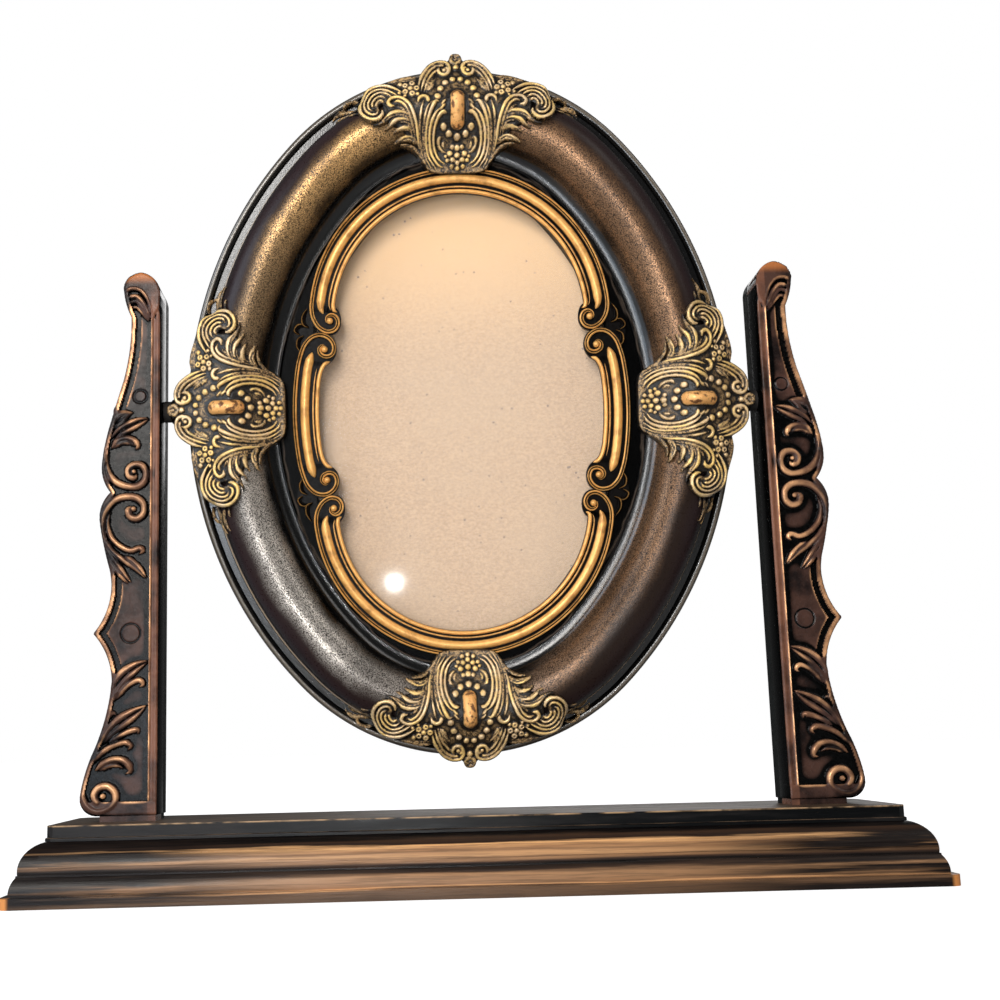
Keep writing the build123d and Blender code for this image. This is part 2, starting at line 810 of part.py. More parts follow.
def turn_button(x, z, inward):
    """A pressed strip with a rounded end that swings over the board to hold it in."""
    eye = button_width / 2
    strip = Rectangle(button_length - button_width, button_width)
    strip = Pos(button_length / 2 - eye, 0) * strip
    shape = strip + Circle(eye) + Pos(button_length - button_width, 0) * Circle(eye)
    shape -= Circle(button_screw_radius + button_clearance)
    plate = extrude(shape, button_thickness)
    y = frame_back + button_gap + button_thickness
    return Pos(x, y, z) * Rot(90, 0, 0) * Rot(0, 0, inward) * plate


def button_screws():
    screws = []
    for x, z, _ in button_places():
        length = button_thickness + 2 * button_gap + button_screw_depth
        screw = wood_screw(button_screw_radius, length, button_head_radius, button_head_height)
        y = frame_back + button_thickness + 2 * button_gap
        screws.append(Pos(x, y, z) * Rot(90, 0, 0) * screw)
    return Compound(children=screws)


# Pivots


def pivot_screw(side):
    """A domed screw, head outside the post, threaded into the frame's lug."""
    start = head_plane() + running_gap
    end = inner_face - lug_gap - pivot_engagement
    dome = (pivot_head_radius ** 2 + pivot_head_height ** 2) / (2 * pivot_head_height)
    head = Cylinder(
        pivot_head_radius, pivot_head_height, align=(Align.CENTER, Align.CENTER, Align.MIN)
    )
    head = head & Pos(0, 0, pivot_head_height - dome + 0.3) * Sphere(dome)
    shank = Pos(0, 0, end - start) * Cylinder(
        pivot_shank_radius, start - end, align=(Align.CENTER, Align.CENTER, Align.MIN)
    )
    return Pos(side * start, 0, 0) * Rot(0, side * 90, 0) * (head + shank)


def friction_washer(side):
    """The spacer between a lug and its post, which turns with the frame."""
    thickness = lug_gap - running_gap
    ring = Cylinder(washer_radius, thickness, align=(Align.CENTER, Align.CENTER, Align.MIN))
    ring -= Cylinder(pivot_shank_radius + thread_fit, 3 * thickness)
    return Pos(side * (inner_face - lug_gap), 0, 0) * Rot(0, side * 90, 0) * ring


def hang(shape):
    """Put a piece of the swinging frame in its place, tilted forward at the top."""
    return Pos(0, 0, pivot_z) * Rot(frame_tilt, 0, 0) * shape


def build_stand():
    save("base_moulding", base_moulding())
    save("base_top_plate", base_plate())
    save("base_cover", base_cover())
    save("base_cover_screws", cover_screws())
    front = left_post_front()
    back = left_post_back()
    save("post_left", front)
    save("post_right", mirror_pair(front))
    save("post_left_back", back)
    save("post_right_back", mirror_pair(back))
    save("post_screws", post_screws())


def build_swing():
    save("oval_frame", hang(oval_frame()))
    save("scroll_liner", hang(scroll_liner()))
    for where in ("top", "bottom", "left", "right"):
        save(f"ornament_{where}", hang(ornament(where)))
    save("glass_pane", hang(glass_pane()))
    save("backing_board", hang(backing_board()))
    names = ("upper_right", "lower_right", "upper_left", "lower_left")
    for name, place in zip(names, button_places()):
        save(f"turn_button_{name}", hang(turn_button(*place)))
    save("turn_button_screws", hang(button_screws()))
    for name, side in (("left", -1), ("right", 1)):
        save(f"pivot_screw_{name}", hang(pivot_screw(side)))
        save(f"friction_washer_{name}", hang(friction_washer(side)))


build_stand()
build_swing()
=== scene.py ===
import json
import math

import bpy
import numpy as np
from mathutils import Matrix, Vector


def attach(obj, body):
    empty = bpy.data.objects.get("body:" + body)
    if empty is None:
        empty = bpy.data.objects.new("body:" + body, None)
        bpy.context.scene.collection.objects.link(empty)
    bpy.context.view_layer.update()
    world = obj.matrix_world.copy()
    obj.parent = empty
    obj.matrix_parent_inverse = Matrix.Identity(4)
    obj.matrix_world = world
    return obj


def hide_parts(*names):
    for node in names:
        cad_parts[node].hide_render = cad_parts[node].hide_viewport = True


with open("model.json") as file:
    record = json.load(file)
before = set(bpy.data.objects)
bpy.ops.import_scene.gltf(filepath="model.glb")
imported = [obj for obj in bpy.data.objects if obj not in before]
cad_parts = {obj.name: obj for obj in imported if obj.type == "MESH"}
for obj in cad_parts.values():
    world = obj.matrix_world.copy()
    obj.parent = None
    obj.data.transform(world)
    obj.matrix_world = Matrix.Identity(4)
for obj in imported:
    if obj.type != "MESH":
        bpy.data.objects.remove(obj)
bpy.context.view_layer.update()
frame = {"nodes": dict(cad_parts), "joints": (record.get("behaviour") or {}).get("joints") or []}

# Finish of the swivel table mirror. The swinging frame is drawn in its own plane: u to the
# right, w up from the middle of the oval, h from the back towards the viewer, in millimetres.

MM = 0.001
joints = {joint["name"]: joint for joint in frame["joints"]}
pivot = Vector(joints["frame_tilt"]["pos_m"])
back_normal = Vector(joints["turn_button_upper_right_turn"]["axis"])
tilt = math.atan2(back_normal.z, back_normal.y)

# Sizes shared with the frame's castings, in millimetres
PIVOT_ABOVE_CENTRE = 2.6
FRAME_BACK = 10.0
HALF_WIDTH = 109.7
HALF_HEIGHT = 138.0
END_CENTRE = 47.0
END_RADIUS = HALF_HEIGHT - END_CENTRE
SIDE_CENTRE = (END_CENTRE ** 2 - (END_RADIUS - HALF_WIDTH) ** 2) / (2 * (HALF_WIDTH - END_RADIUS))
SIDE_RADIUS = HALF_WIDTH + SIDE_CENTRE
JOIN_ANGLE = math.atan2(END_CENTRE, SIDE_CENTRE)
FRAME_WALL = 2.6
STATION_STEP = 2.0
TORUS_RADIUS = 11.4
TORUS_OFFSET = 18.7
TORUS_HEIGHT = 13.65
BED_OFFSET = 36.5
INNER_FACE = 119.5
POST_FRONT = -10.0
POST_SHELL = 13.2
BASE_TOP = 27.8


def hang(points):
    """Frame-plane millimetres (u, w, h) to metres in the row frame."""
    u, w, h = np.asarray(points, float).T
    y = FRAME_BACK - h
    z = w - PIVOT_ABOVE_CENTRE
    c, s = math.cos(tilt), math.sin(tilt)
    return np.column_stack([u, y * c - z * s, y * s + z * c]) * MM + np.array(pivot)


# Camera, floor and light; CAMERA_FOCAL and CAMERA_AXIS are in pixels of the square image

IMAGE = 1000.0
CAMERA_FOCAL = 1336.989
CAMERA_AXIS = (411.812, 524.162)
CAMERA_PLACE = (-29.971, -524.0, 54.405)
CAMERA_YAW, CAMERA_PITCH, CAMERA_ROLL = -0.017, 0.162, -0.024
AMBIENT = 0.10
FLOOR_LIFT = 0.80
FLOOR_HALF = 6.0
COOL = (0.74, 0.86, 1.0)
WHITE = (1, 1, 1)

# Place, aim and size of each lamp in metres, its power in watts and its colour
LAMPS = {
    "key": ((-0.42, -1.10, 0.52), (0, 0, 0.17), (0.5, 0.4), 6.2, (1.0, 0.97, 0.92)),
    "front": ((-0.17, -0.85, 0.33), (0, 0, 0.17), (0.14, 0.6), 2.8, (1.0, 0.98, 0.96)),
    "side": ((-1.0, -0.45, 0.50), (0, 0, 0.17), (0.6, 0.9), 7.0, COOL),
    "low": ((-0.30, -0.70, 0.06), (0.05, 0, 0.2), (0.5, 0.1), 0.9, COOL),
    "fill": ((0.8, -0.6, 0.85), (0, 0, 0.12), (0.3, 0.7), 1.8, (1.0, 0.98, 0.95)),
    "back": ((0.35, 1.30, 0.75), (0, 0, 0.15), (0.9, 0.6), 4.5, WHITE),
    "glint": ((-0.027, -0.472, 0.015), (-0.028, 0.017, 0.119), (0.010, 0.010), 0.24, WHITE),
}


def make_camera():
    data = bpy.data.cameras.new("view")
    camera = bpy.data.objects.new("view", data)
    bpy.context.scene.collection.objects.link(camera)
    data.sensor_width = 36.0
    data.lens = CAMERA_FOCAL / IMAGE * data.sensor_width
    data.shift_x = 0.5 - CAMERA_AXIS[0] / IMAGE
    data.shift_y = CAMERA_AXIS[1] / IMAGE - 0.5
    data.clip_start = 0.01
    data.clip_end = 20.0
    right = Vector((math.cos(CAMERA_YAW), math.sin(CAMERA_YAW), 0))
    ahead = Vector((-math.sin(CAMERA_YAW), math.cos(CAMERA_YAW), 0))
    up = Vector((0, 0, 1))
    c, s = math.cos(CAMERA_PITCH), math.sin(CAMERA_PITCH)
    ahead, up = c * ahead + s * up, c * up - s * ahead
    c, s = math.cos(CAMERA_ROLL), math.sin(CAMERA_ROLL)
    right, up = c * right + s * up, c * up - s * right
    turn = Matrix((right, up, -ahead)).transposed()
    camera.matrix_world = Matrix.Translation(Vector(CAMERA_PLACE) * MM) @ turn.to_4x4()
    bpy.context.scene.camera = camera


def soft_lamp(name, place, aim, size, power, colour):
    """An area lamp, round where it is as high as it is wide."""
    data = bpy.data.lights.new(name, "AREA")
    data.shape = "DISK" if size[0] == size[1] else "RECTANGLE"
    data.size, data.size_y = size
    data.energy = power
    data.color = colour
    lamp = bpy.data.objects.new(name, data)
    bpy.context.scene.collection.objects.link(lamp)
    lamp.location = place
    lamp.rotation_euler = (Vector(aim) - Vector(place)).to_track_quat("-Z", "Y").to_euler()


# Shader helpers: each returns an output socket, or takes one wherever a plain value would do


def tone(red, green, blue):
    """A screen colour, 0 to 255, as the shader's linear one."""
    parts = [v / 255 for v in (red, green, blue)]
    linear = [v / 12.92 if v <= 0.04045 else ((v + 0.055) / 1.055) ** 2.4 for v in parts]
    return (*linear, 1.0)


class Paint:
    """A material with a Principled shader and short calls for the nodes that feed it."""

    def __init__(self, name):
        self.material = bpy.data.materials.new(name)
        self.material.use_nodes = True
        self.tree = self.material.node_tree
        self.shader = self.tree.nodes["Principled BSDF"]
        self.place = self.tree.nodes.new("ShaderNodeTexCoord").outputs["Object"]

    def put(self, socket, value):
        """Feeds an input from an output socket, or sets it to a plain value."""
        if isinstance(value, bpy.types.NodeSocket):
            self.tree.links.new(value, socket)
        else:
            socket.default_value = value

    def feed(self, node, values):
        """Inputs of a node by name, with _ for each space."""
        for name, value in values.items():
            self.put(node.inputs[name.replace("_", " ")], value)

    def set(self, **values):
        self.feed(self.shader, values)

    def node(self, kind, **values):
        node = self.tree.nodes.new(f"ShaderNode{kind}")
        self.feed(node, values)
        return node

    def stretched(self, *scale):
        return self.node("Mapping", Vector=self.place, Scale=scale).outputs["Vector"]

    def noise(self, size, detail=3.0, rough=0.55, distort=0.0, at=None):
        """Noise whose patches are about size millimetres across."""
        place = self.place if at is None else at
        node = self.node("TexNoise", Vector=place, Scale=1000.0 / size, Detail=detail,
                         Roughness=rough, Distortion=distort)
        return node.outputs["Fac"]

    def cells(self, size):
        """Distance to the nearest of scattered points about size millimetres apart."""
        return self.node("TexVoronoi", Vector=self.place, Scale=1000.0 / size).outputs["Distance"]

    def value(self, name):
        """A number that the mesh holds at each of its points."""
        node = self.node("Attribute")
        node.attribute_name = name
        return node.outputs["Fac"]

    def span(self, source, low, high, start=0.0, end=1.0):
        """Maps low..high smoothly to start..end."""
        node = self.node("MapRange", Value=source, From_Min=low, From_Max=high, To_Min=start,
                         To_Max=end)
        node.interpolation_type = "SMOOTHSTEP"
        return node.outputs["Result"]

    def calc(self, kind, a, b=0.0):
        node = self.node("Math")
        node.operation = kind
        self.put(node.inputs[0], a)
        self.put(node.inputs[1], b)
        return node.outputs[0]

    def plus(self, a, b):
        return self.calc("ADD", a, b)

    def times(self, a, b):
        return self.calc("MULTIPLY", a, b)

    def without(self, share):
        """What is left of 1."""
        return self.calc("SUBTRACT", 1.0, share)

    def blend(self, share, a, b):
        """Colour a where share is 0, colour b where it is 1."""
        node = self.node("Mix")
        node.data_type = "RGBA"
        for index, value in ((0, share), (6, a), (7, b)):
            self.put(node.inputs[index], value)
        return node.outputs[2]

    def ramp(self, source, *stops):
        """Colours at rising places, 0 to 1, blended between them."""
        node = self.node("ValToRGB", Fac=source)
        band = node.color_ramp
        while len(band.elements) < len(stops):
            band.elements.new(0.5)
        for element, (place, colour) in zip(band.elements, stops):
            element.position = place
            element.color = colour
        return node.outputs["Color"]

    def axis(self, name):
        """A coordinate in the row frame, in metres."""
        return self.node("SeparateXYZ", Vector=self.place).outputs[name]

    def upward(self):
        """How far the surface faces up, 1 where it is level."""
        normal = self.node("NewGeometry").outputs["Normal"]
        return self.node("SeparateXYZ", Vector=normal).outputs["Z"]

    def bump(self, height, depth, strength):
        """Bumps of the given depth in millimetres."""
        node = self.node("Bump", Strength=strength, Distance=depth * MM, Height=height)
        self.set(Normal=node.outputs["Normal"])


# Meshes


def as_piece(name, points, faces, body, material, values, smooth_angle):
    """A named piece riding on a body, from metre coordinates, index faces and point values."""
    mesh = bpy.data.meshes.new(name)
    mesh.from_pydata(np.asarray(points).tolist(), [], faces)
    mesh.update()
    for key, numbers in values.items():
        layer = mesh.attributes.new(key, "FLOAT", "POINT")
        layer.data.foreach_set("value", np.asarray(numbers, np.float32))
    mesh.shade_smooth()
    if smooth_angle:
        mesh.set_sharp_from_angle(angle=math.radians(smooth_angle))
    piece = bpy.data.objects.new(name, mesh)
    bpy.context.scene.collection.objects.link(piece)
    mesh.materials.append(material)
    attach(piece, body)
    return piece


def curve(points, step=0.3):
    """A smooth line through control points, about step apart (centripetal spline)."""
    p = np.array(points, float)
    gaps = np.hypot(*(p[1:, :2] - p[:-1, :2]).T)
    if len(p) < 3:
        t = np.linspace(0, 1, max(2, int(gaps[0] / step) + 1))[:, None]
        return p[0] * (1 - t) + p[-1] * t
    times = np.concatenate([[0], np.cumsum(np.sqrt(gaps))])
    p = np.vstack([2 * p[0] - p[1], p, 2 * p[-1] - p[-2]])
    first, last = times[1], times[-1] - times[-2]
    times = np.concatenate([[-first], times, [times[-1] + last]])
    out = []
    for i in range(1, len(p) - 2):
        t0, t1, t2, t3 = times[i - 1:i + 3]
        count = max(2, int(np.ceil(gaps[i - 1] / step)))
        s = np.linspace(t1, t2, count, endpoint=False)[:, None]
        a1 = ((t1 - s) * p[i - 1] + (s - t0) * p[i]) / (t1 - t0)
        a2 = ((t2 - s) * p[i] + (s - t1) * p[i + 1]) / (t2 - t1)
        a3 = ((t3 - s) * p[i + 1] + (s - t2) * p[i + 2]) / (t3 - t2)
        b1 = ((t2 - s) * a1 + (s - t0) * a2) / (t2 - t0)
        b2 = ((t3 - s) * a2 + (s - t1) * a3) / (t3 - t1)
        out.append(((t2 - s) * b1 + (s - t1) * b2) / (t2 - t1))
    return np.vstack(out + [p[-2:-1]])


def arc_points(first, middle, last, count):
    """Points on the circle through three points."""
    (ax, ay), (bx, by), (cx, cy) = first, middle, last
    d = 2 * (ax * (by - cy) + bx * (cy - ay) + cx * (ay - by))
    a2, b2, c2 = ax * ax + ay * ay, bx * bx + by * by, cx * cx + cy * cy
    x = (a2 * (by - cy) + b2 * (cy - ay) + c2 * (ay - by)) / d
    y = (a2 * (cx - bx) + b2 * (ax - cx) + c2 * (bx - ax)) / d
    start = math.atan2(ay - y, ax - x)
    sweep = (math.atan2(cy - y, cx - x) - start) % (2 * math.pi)
    if (math.atan2(by - y, bx - x) - start) % (2 * math.pi) > sweep:
        sweep -= 2 * math.pi
    r = math.hypot(ax - x, ay - y)
    return [
        (x + r * math.cos(start + sweep * k / count), y + r * math.sin(start + sweep * k / count))
        for k in range(count + 1)
    ]


EMPTY = -9.0


class Carving:
    """A height map that ridges, beads and grooves are pressed into, on square cells."""

    def __init__(self, left, right, low, high, cell, swell):
        self.cell = cell
        self.swell = swell
        self.x = np.arange(left, right + cell / 2, cell)
        self.y = np.arange(low, high + cell / 2, cell)
        self.X, self.Y = np.meshgrid(self.x, self.y)
        self.h = np.full(self.X.shape, EMPTY)

    def window(self, left, right, low, high):
        i0, i1 = np.searchsorted(self.x, (left, right))
        j0, j1 = np.searchsorted(self.y, (low, high))
        return slice(max(j0 - 1, 0), j1 + 1), slice(max(i0 - 1, 0), i1 + 1)

    def nearest(self, line, reach):
        """Distance to a line near it, and how far along it, 0 to 1."""
        low, high = line[:, :2].min(0) - reach, line[:, :2].max(0) + reach
        w = self.window(low[0], high[0], low[1], high[1])
        X, Y = self.X[w], self.Y[w]
        best = np.full(X.shape, 1e9)
        along = np.zeros(X.shape)
        for i in range(len(line) - 1):
            ax, ay = line[i, :2]
            dx, dy = line[i + 1, :2] - line[i, :2]
            length = dx * dx + dy * dy
            if length < 1e-9:
                continue
            t = np.clip(((X - ax) * dx + (Y - ay) * dy) / length, 0, 1)
            d = np.hypot(X - ax - t * dx, Y - ay - t * dy)
            closer = d < best
            best[closer] = d[closer]
            along[closer] = i + t[closer]
        return w, best, along / (len(line) - 1)

    def narrowing(self, along, ends):
        k = np.ones_like(along)
        for end, way in zip(ends, (along, 1 - along)):
            if end:
                k = np.minimum(k, np.clip(way / end, 0.02, 1) ** 0.7)
        return k

    def raise_to(self, window, surface):
        self.h[window] = np.maximum(self.h[window], surface)

    def ridge(self, points, width, height, foot, ends):
        """A rounded ridge of half width; ends are the shares over which it tapers off."""
        width = width * self.swell
        w, d, along = self.nearest(curve(points), width + self.cell)
        k = self.narrowing(along, ends)
        half = width * k
        rise = np.clip(1 - (d / half) ** 2, 0, 1) ** 0.5
        self.raise_to(w, np.where(d < half, foot + height * (0.35 + 0.65 * k) * rise, EMPTY))

    def ridges(self, table, placed):
        """Rows of half width, height, foot, ends and the points, which placed moves here."""
        for width, height, foot, ends, *points in table:
            self.ridge(placed(points), width, height, foot, ends)

    def groove(self, points, width, depth, ends=(0.2, 0.2)):
        w, d, along = self.nearest(curve(points), width + self.cell)
        k = self.narrowing(along, ends)
        cut = depth * k * np.clip(1 - (d / (width * k)) ** 2, 0, 1) ** 0.7
        self.h[w] = np.where(self.h[w] > EMPTY / 2, self.h[w] - cut, self.h[w])

    def dome(self, x, y, radius):
        """A half ball of height 1 on a round window, and where it stands."""
        w = self.window(x - radius, x + radius, y - radius, y + radius)
        d = np.hypot(self.X[w] - x, self.Y[w] - y) / radius
        return w, d < 1, np.sqrt(np.clip(1 - d * d, 0, 1))

    def bead(self, x, y, radius, height, foot):
        w, under, ball = self.dome(x, y, radius)
        self.raise_to(w, np.where(under, foot + height * ball, EMPTY))

    def beads(self, table, placed):
        """Rows of height, foot and places with a radius."""
        for height, foot, *spots in table:
            for x, y, radius in spots:
                self.bead(*placed([(x, y)])[0], radius, height, foot)

    def pit(self, x, y, radius, depth):
        w, _, ball = self.dome(x, y, radius)
        self.h[w] -= np.where(self.h[w] > EMPTY / 2, depth * ball, 0)

    def inside(self, line):
        """Which cells lie inside a closed line."""
        odd = np.zeros(self.X.shape, bool)
        for (x1, y1), (x2, y2) in zip(line, np.roll(line, -1, 0)):
            if y1 == y2:
                continue
            rows = (self.Y >= min(y1, y2)) & (self.Y < max(y1, y2))
            odd ^= rows & (self.X < (x2 - x1) * (self.Y - y1) / (y2 - y1) + x1)
        return odd

    def ground(self, points, level, edge=0.8):
        """A raised plate inside a smooth closed outline, rounded over at its edge."""
        line = curve(list(points) + [points[0]])
        w, d, _ = self.nearest(line, edge + self.cell)
        drop = np.full(self.X.shape, 1e9)
        drop[w] = d
        z = level - edge * np.clip(1 - drop / edge, 0, 1) ** 2
        self.h = np.maximum(self.h, np.where(self.inside(line[:-1, :2]), z, EMPTY))

    def mirrored(self):
        self.h = np.maximum(self.h, self.h[:, ::-1])

    def softened(self, reach):
        """The height map blurred over about reach millimetres, empty cells left out."""
        full = self.h > EMPTY / 2
        total = np.where(full, self.h, 0.0)
        weight = full.astype(float)
        n = max(1, int(round(reach / self.cell)))
        for _ in range(2):
            for axis in (0, 1):
                total = box_mean(total, n, axis)
                weight = box_mean(weight, n, axis)
        return np.where(full, total / np.maximum(weight, 1e-6), 0.0)

    def solid(self, outline=None):
        """Vertices, faces and per-vertex values of the carved front, its walls and its back."""
        full = self.h > EMPTY / 2
        quad = full[:-1, :-1] & full[1:, :-1] & full[:-1, 1:] & full[1:, 1:]
        used = np.zeros(full.shape, bool)
        for dj in (0, 1):
            for di in (0, 1):
                used[dj:dj + quad.shape[0], di:di + quad.shape[1]] |= quad
        number = np.full(full.shape, -1)
        number[used] = np.arange(used.sum())
        front = np.stack([
            number[:-1, :-1][quad], number[:-1, 1:][quad], number[1:, 1:][quad], number[1:, :-1][quad]
        ], 1)
        flat = np.column_stack([self.X[used], self.Y[used]])
        sides = np.vstack([front[:, [k, (k + 1) % 4]] for k in range(4)])
        keys = sides[:, 0] * len(flat) + sides[:, 1]
        back_keys = sides[:, 1] * len(flat) + sides[:, 0]
        rim = sides[~np.isin(keys, back_keys)]
        if outline is None:
            flat = relaxed(flat, rim)
        else:
            flat[np.unique(rim)] = snapped(flat[np.unique(rim)], outline)
        heights = self.h[used]
        crest = (self.h - self.softened(0.9))[used]
        shade = (self.h - self.softened(2.4))[used]
        n = len(flat)
        walls = np.column_stack([rim[:, 1], rim[:, 0], rim[:, 0] + n, rim[:, 1] + n])
        faces = np.vstack([front, front[:, ::-1] + n, walls])
        return flat, heights, faces, {"crest": np.tile(crest, 2), "shade": np.tile(shade, 2)}


def box_mean(a, n, axis):
    """Running mean over 2n + 1 cells, with zeros beyond the edges."""
    pad = [(0, 0), (0, 0)]
    pad[axis] = (n + 1, n)
    total = np.cumsum(np.pad(a, pad), axis)
    size = a.shape[axis]
    high = np.take(total, np.arange(2 * n + 1, 2 * n + 1 + size), axis)
    low = np.take(total, np.arange(size), axis)
    return (high - low) / (2 * n + 1)


def relaxed(flat, rim):
    """Smooths the stepped edge of a carved plate in its plane."""
    flat = flat.copy()
    after = dict(rim.tolist())
    before = {b: a for a, b in after.items()}
    ids = np.array([i for i in after if i in before])
    nxt = np.array([after[i] for i in ids])
    prv = np.array([before[i] for i in ids])
    for _ in range(6):
        flat[ids] = 0.5 * flat[ids] + 0.25 * (flat[nxt] + flat[prv])
    return flat


def snapped(points, line):
    """Moves points onto the nearest place of a closed line."""
    a, b = line, np.roll(line, -1, 0)
    ab = b - a
    length = np.maximum((ab ** 2).sum(1), 1e-12)
    out = np.empty_like(points)
    for i, p in enumerate(points):
        t = np.clip(((p - a) * ab).sum(1) / length, 0, 1)
        q = a + t[:, None] * ab
        out[i] = q[((q - p) ** 2).sum(1).argmin()]
    return out


# The oval moulding


def stations():
    """Arc centre, outer radius and angle at even steps round the oval, anticlockwise."""
    found = []
    a = JOIN_ANGLE
    for cx, cz, radius, start, sweep in (
        (-SIDE_CENTRE, 0, SIDE_RADIUS, -a, 2 * a),
        (0, END_CENTRE, END_RADIUS, a, math.pi - 2 * a),
        (SIDE_CENTRE, 0, SIDE_RADIUS, math.pi - a, 2 * a),
        (0, -END_CENTRE, END_RADIUS, math.pi + a, math.pi - 2 * a),
    ):
        count = int(round(radius * sweep / STATION_STEP))
        found += [(cx, cz, radius, start + sweep * k / count) for k in range(count)]
    return found


def edge_offset(u, w):
    """How far in from the oval's outer edge a point of its plane lies."""
    u, w = np.abs(u), np.abs(w)
    on_end = w > (u + SIDE_CENTRE) * math.tan(JOIN_ANGLE)
    end = END_RADIUS - np.hypot(u, w - END_CENTRE)
    side = SIDE_RADIUS - np.hypot(u + SIDE_CENTRE, w)
    return np.where(on_end, end, side)


def torus_point(radius, angle):
    """A point on the big torus of the moulding, its angle measured from straight up."""
    a = math.radians(angle)
    return TORUS_OFFSET + radius * math.sin(a), TORUS_HEIGHT + radius * math.cos(a)


def moulding_profile():
    """Closed section of the moulding, as offset in from the edge and height off the back."""
    outer, inner = TORUS_RADIUS, TORUS_RADIUS - FRAME_WALL
    face = arc_points((0, 9.0), (1.6, 10.9), (3.2, 9.6), 8)
    face += [(3.6, 8.9), (5.8, 8.9), (6.5, 11.7), (6.9, 11.9), (7.3, 11.6)]
    face += arc_points(torus_point(outer, -90), torus_point(outer, -15), torus_point(outer, 60), 30)
    face += arc_points((29.57, 17.62), (30.9, 14.1), (35.2, 12.2), 10)
    face += arc_points((35.2, 12.2), (35.85, 13.0), (BED_OFFSET, 12.2), 6)[1:]
    face += [(BED_OFFSET, 11.4), (46.4, 11.4), (46.4, 5.2), (43.4, 5.2), (43.4, 0)]
    behind = [(37.4, 0), (37.4, 8.8), (33.9, 8.8), (30.6, 11.0), (27.72, 15.05)]
    behind += arc_points(torus_point(inner, 60), torus_point(inner, -15), torus_point(inner, -90), 10)
    behind += [(7.9, 6.4), (2.6, 6.4), (2.6, 0), (0, 0)]
    return face + behind


def grid_faces(rows, across, closed):
    """Faces between rows of points, each row a loop; closed joins the last row to the first."""
    return [
        (i * across + j, (i + 1) % rows * across + j,
         (i + 1) % rows * across + (j + 1) % across, i * across + (j + 1) % across)
        for i in range(rows if closed else rows - 1) for j in range(across)
    ]


def end_faces(rows, across):
    """The two faces that close a run of rows."""
    last = (rows - 1) * across
    return [tuple(range(across)), tuple(range(last, last + across))[::-1]]


def turned_ring(profile):
    """A profile carried round the oval, closed both ways."""
    places = stations()
    points, offsets = [], []
    for cx, cz, radius, angle in places:
        c, s = math.cos(angle), math.sin(angle)
        points += [(cx + (radius - o) * c, cz + (radius - o) * s, h) for o, h in profile]
        offsets += [o for o, _ in profile]
    return points, grid_faces(len(places), len(profile), True), offsets


class Shells:
    """Closed shells gathered into one mesh, with a mark, a number, at each point."""

    def __init__(self):
        self.points, self.faces, self.marks = [], [], []

    def add(self, points, faces, marks):
        start = len(self.points)
        self.points += points
        self.faces += [tuple(start + i for i in face) for face in faces]
        self.marks += marks

    def bar(self, line, section, marks, ends):
        """A section (across, rise) carried along a line in the frame plane; u, w, h rows."""
        line = np.array(line, float)
        n, m = len(line), len(section)
        along = np.gradient(line, axis=0)
        length = np.hypot(along[:, 0], along[:, 1])
        side = np.column_stack([along[:, 1], -along[:, 0]]) / length[:, None]
        t = np.linspace(0, 1, n)
        k = np.ones(n)
        for end, way in zip(ends, (t, 1 - t)):
            if end:
                k = np.minimum(k, np.clip(way / end, 0.0, 1) ** 0.6 * 0.9 + 0.1)
        points = [
            (line[i, 0] + side[i, 0] * a * k[i], line[i, 1] + side[i, 1] * a * k[i],
             line[i, 2] + b * (0.3 + 0.7 * k[i]))
            for i in range(n) for a, b in section
        ]
        self.add(points, grid_faces(n, m, False) + end_faces(n, m), marks * n)

    def knob(self, u, w, h, radius, rise):
        """A low dome standing on the plane at height h."""
        rings, sides = 5, 14
        points, faces, marks = [], [], []
        for i in range(rings):
            a = math.pi / 2 * i / rings
            r = radius * math.cos(a)
            for j in range(sides):
                b = 2 * math.pi * j / sides
                points.append((u + r * math.cos(b), w + r * math.sin(b), h + rise * math.sin(a)))
                marks.append(math.sin(a))
        for i in range(rings - 1):
            for j in range(sides):
                k = (j + 1) % sides
                faces.append((i * sides + j, i * sides + k, (i + 1) * sides + k, (i + 1) * sides + j))
        top = len(points)
        last = (rings - 1) * sides
        faces += [(last + j, last + (j + 1) % sides, top) for j in range(sides)]
        faces.append(tuple(range(sides))[::-1])
        self.add(points + [(u, w, h + rise)], faces, marks + [1.0])

    def plate(self, outline, low, high):
        """A flat plate with a closed smooth outline, drawn anticlockwise."""
        line = curve(list(outline) + [outline[0]], 0.6)[:-1, :2]
        n = len(line)
        middle = line.mean(0)
        points = [(u, w, low) for u, w in line] + [(u, w, high) for u, w in line]
        points += [(*middle, low), (*middle, high)]
        faces = []
        for i in range(n):
            j = (i + 1) % n
            faces += [(i, j, n + j, n + i), (n + i, n + j, 2 * n + 1), (j, i, 2 * n)]
        self.add(points, faces, [0.0] * len(points))

    def join_mirrored(self, other, turn_u, turn_w):
        """Adds another's shells, mirrored in u, in w, or both, where a turn is -1."""
        points = [(u * turn_u, w * turn_w, h) for u, w, h in other.points]
        faces = [f[::-1] if turn_u * turn_w < 0 else f for f in other.faces]
        self.add(points, faces, other.marks)


# Lug for a pivot screw: distance from the middle plane and radius, from its inner end round
# its chamfered outer end to the bottom of its bore
LUG = ((98.1, 0.01), (98.1, 5.0), (115.6, 5.0), (116.1, 4.5), (116.1, 2.42), (101.1, 2.42))
LUG_SIDES = 24


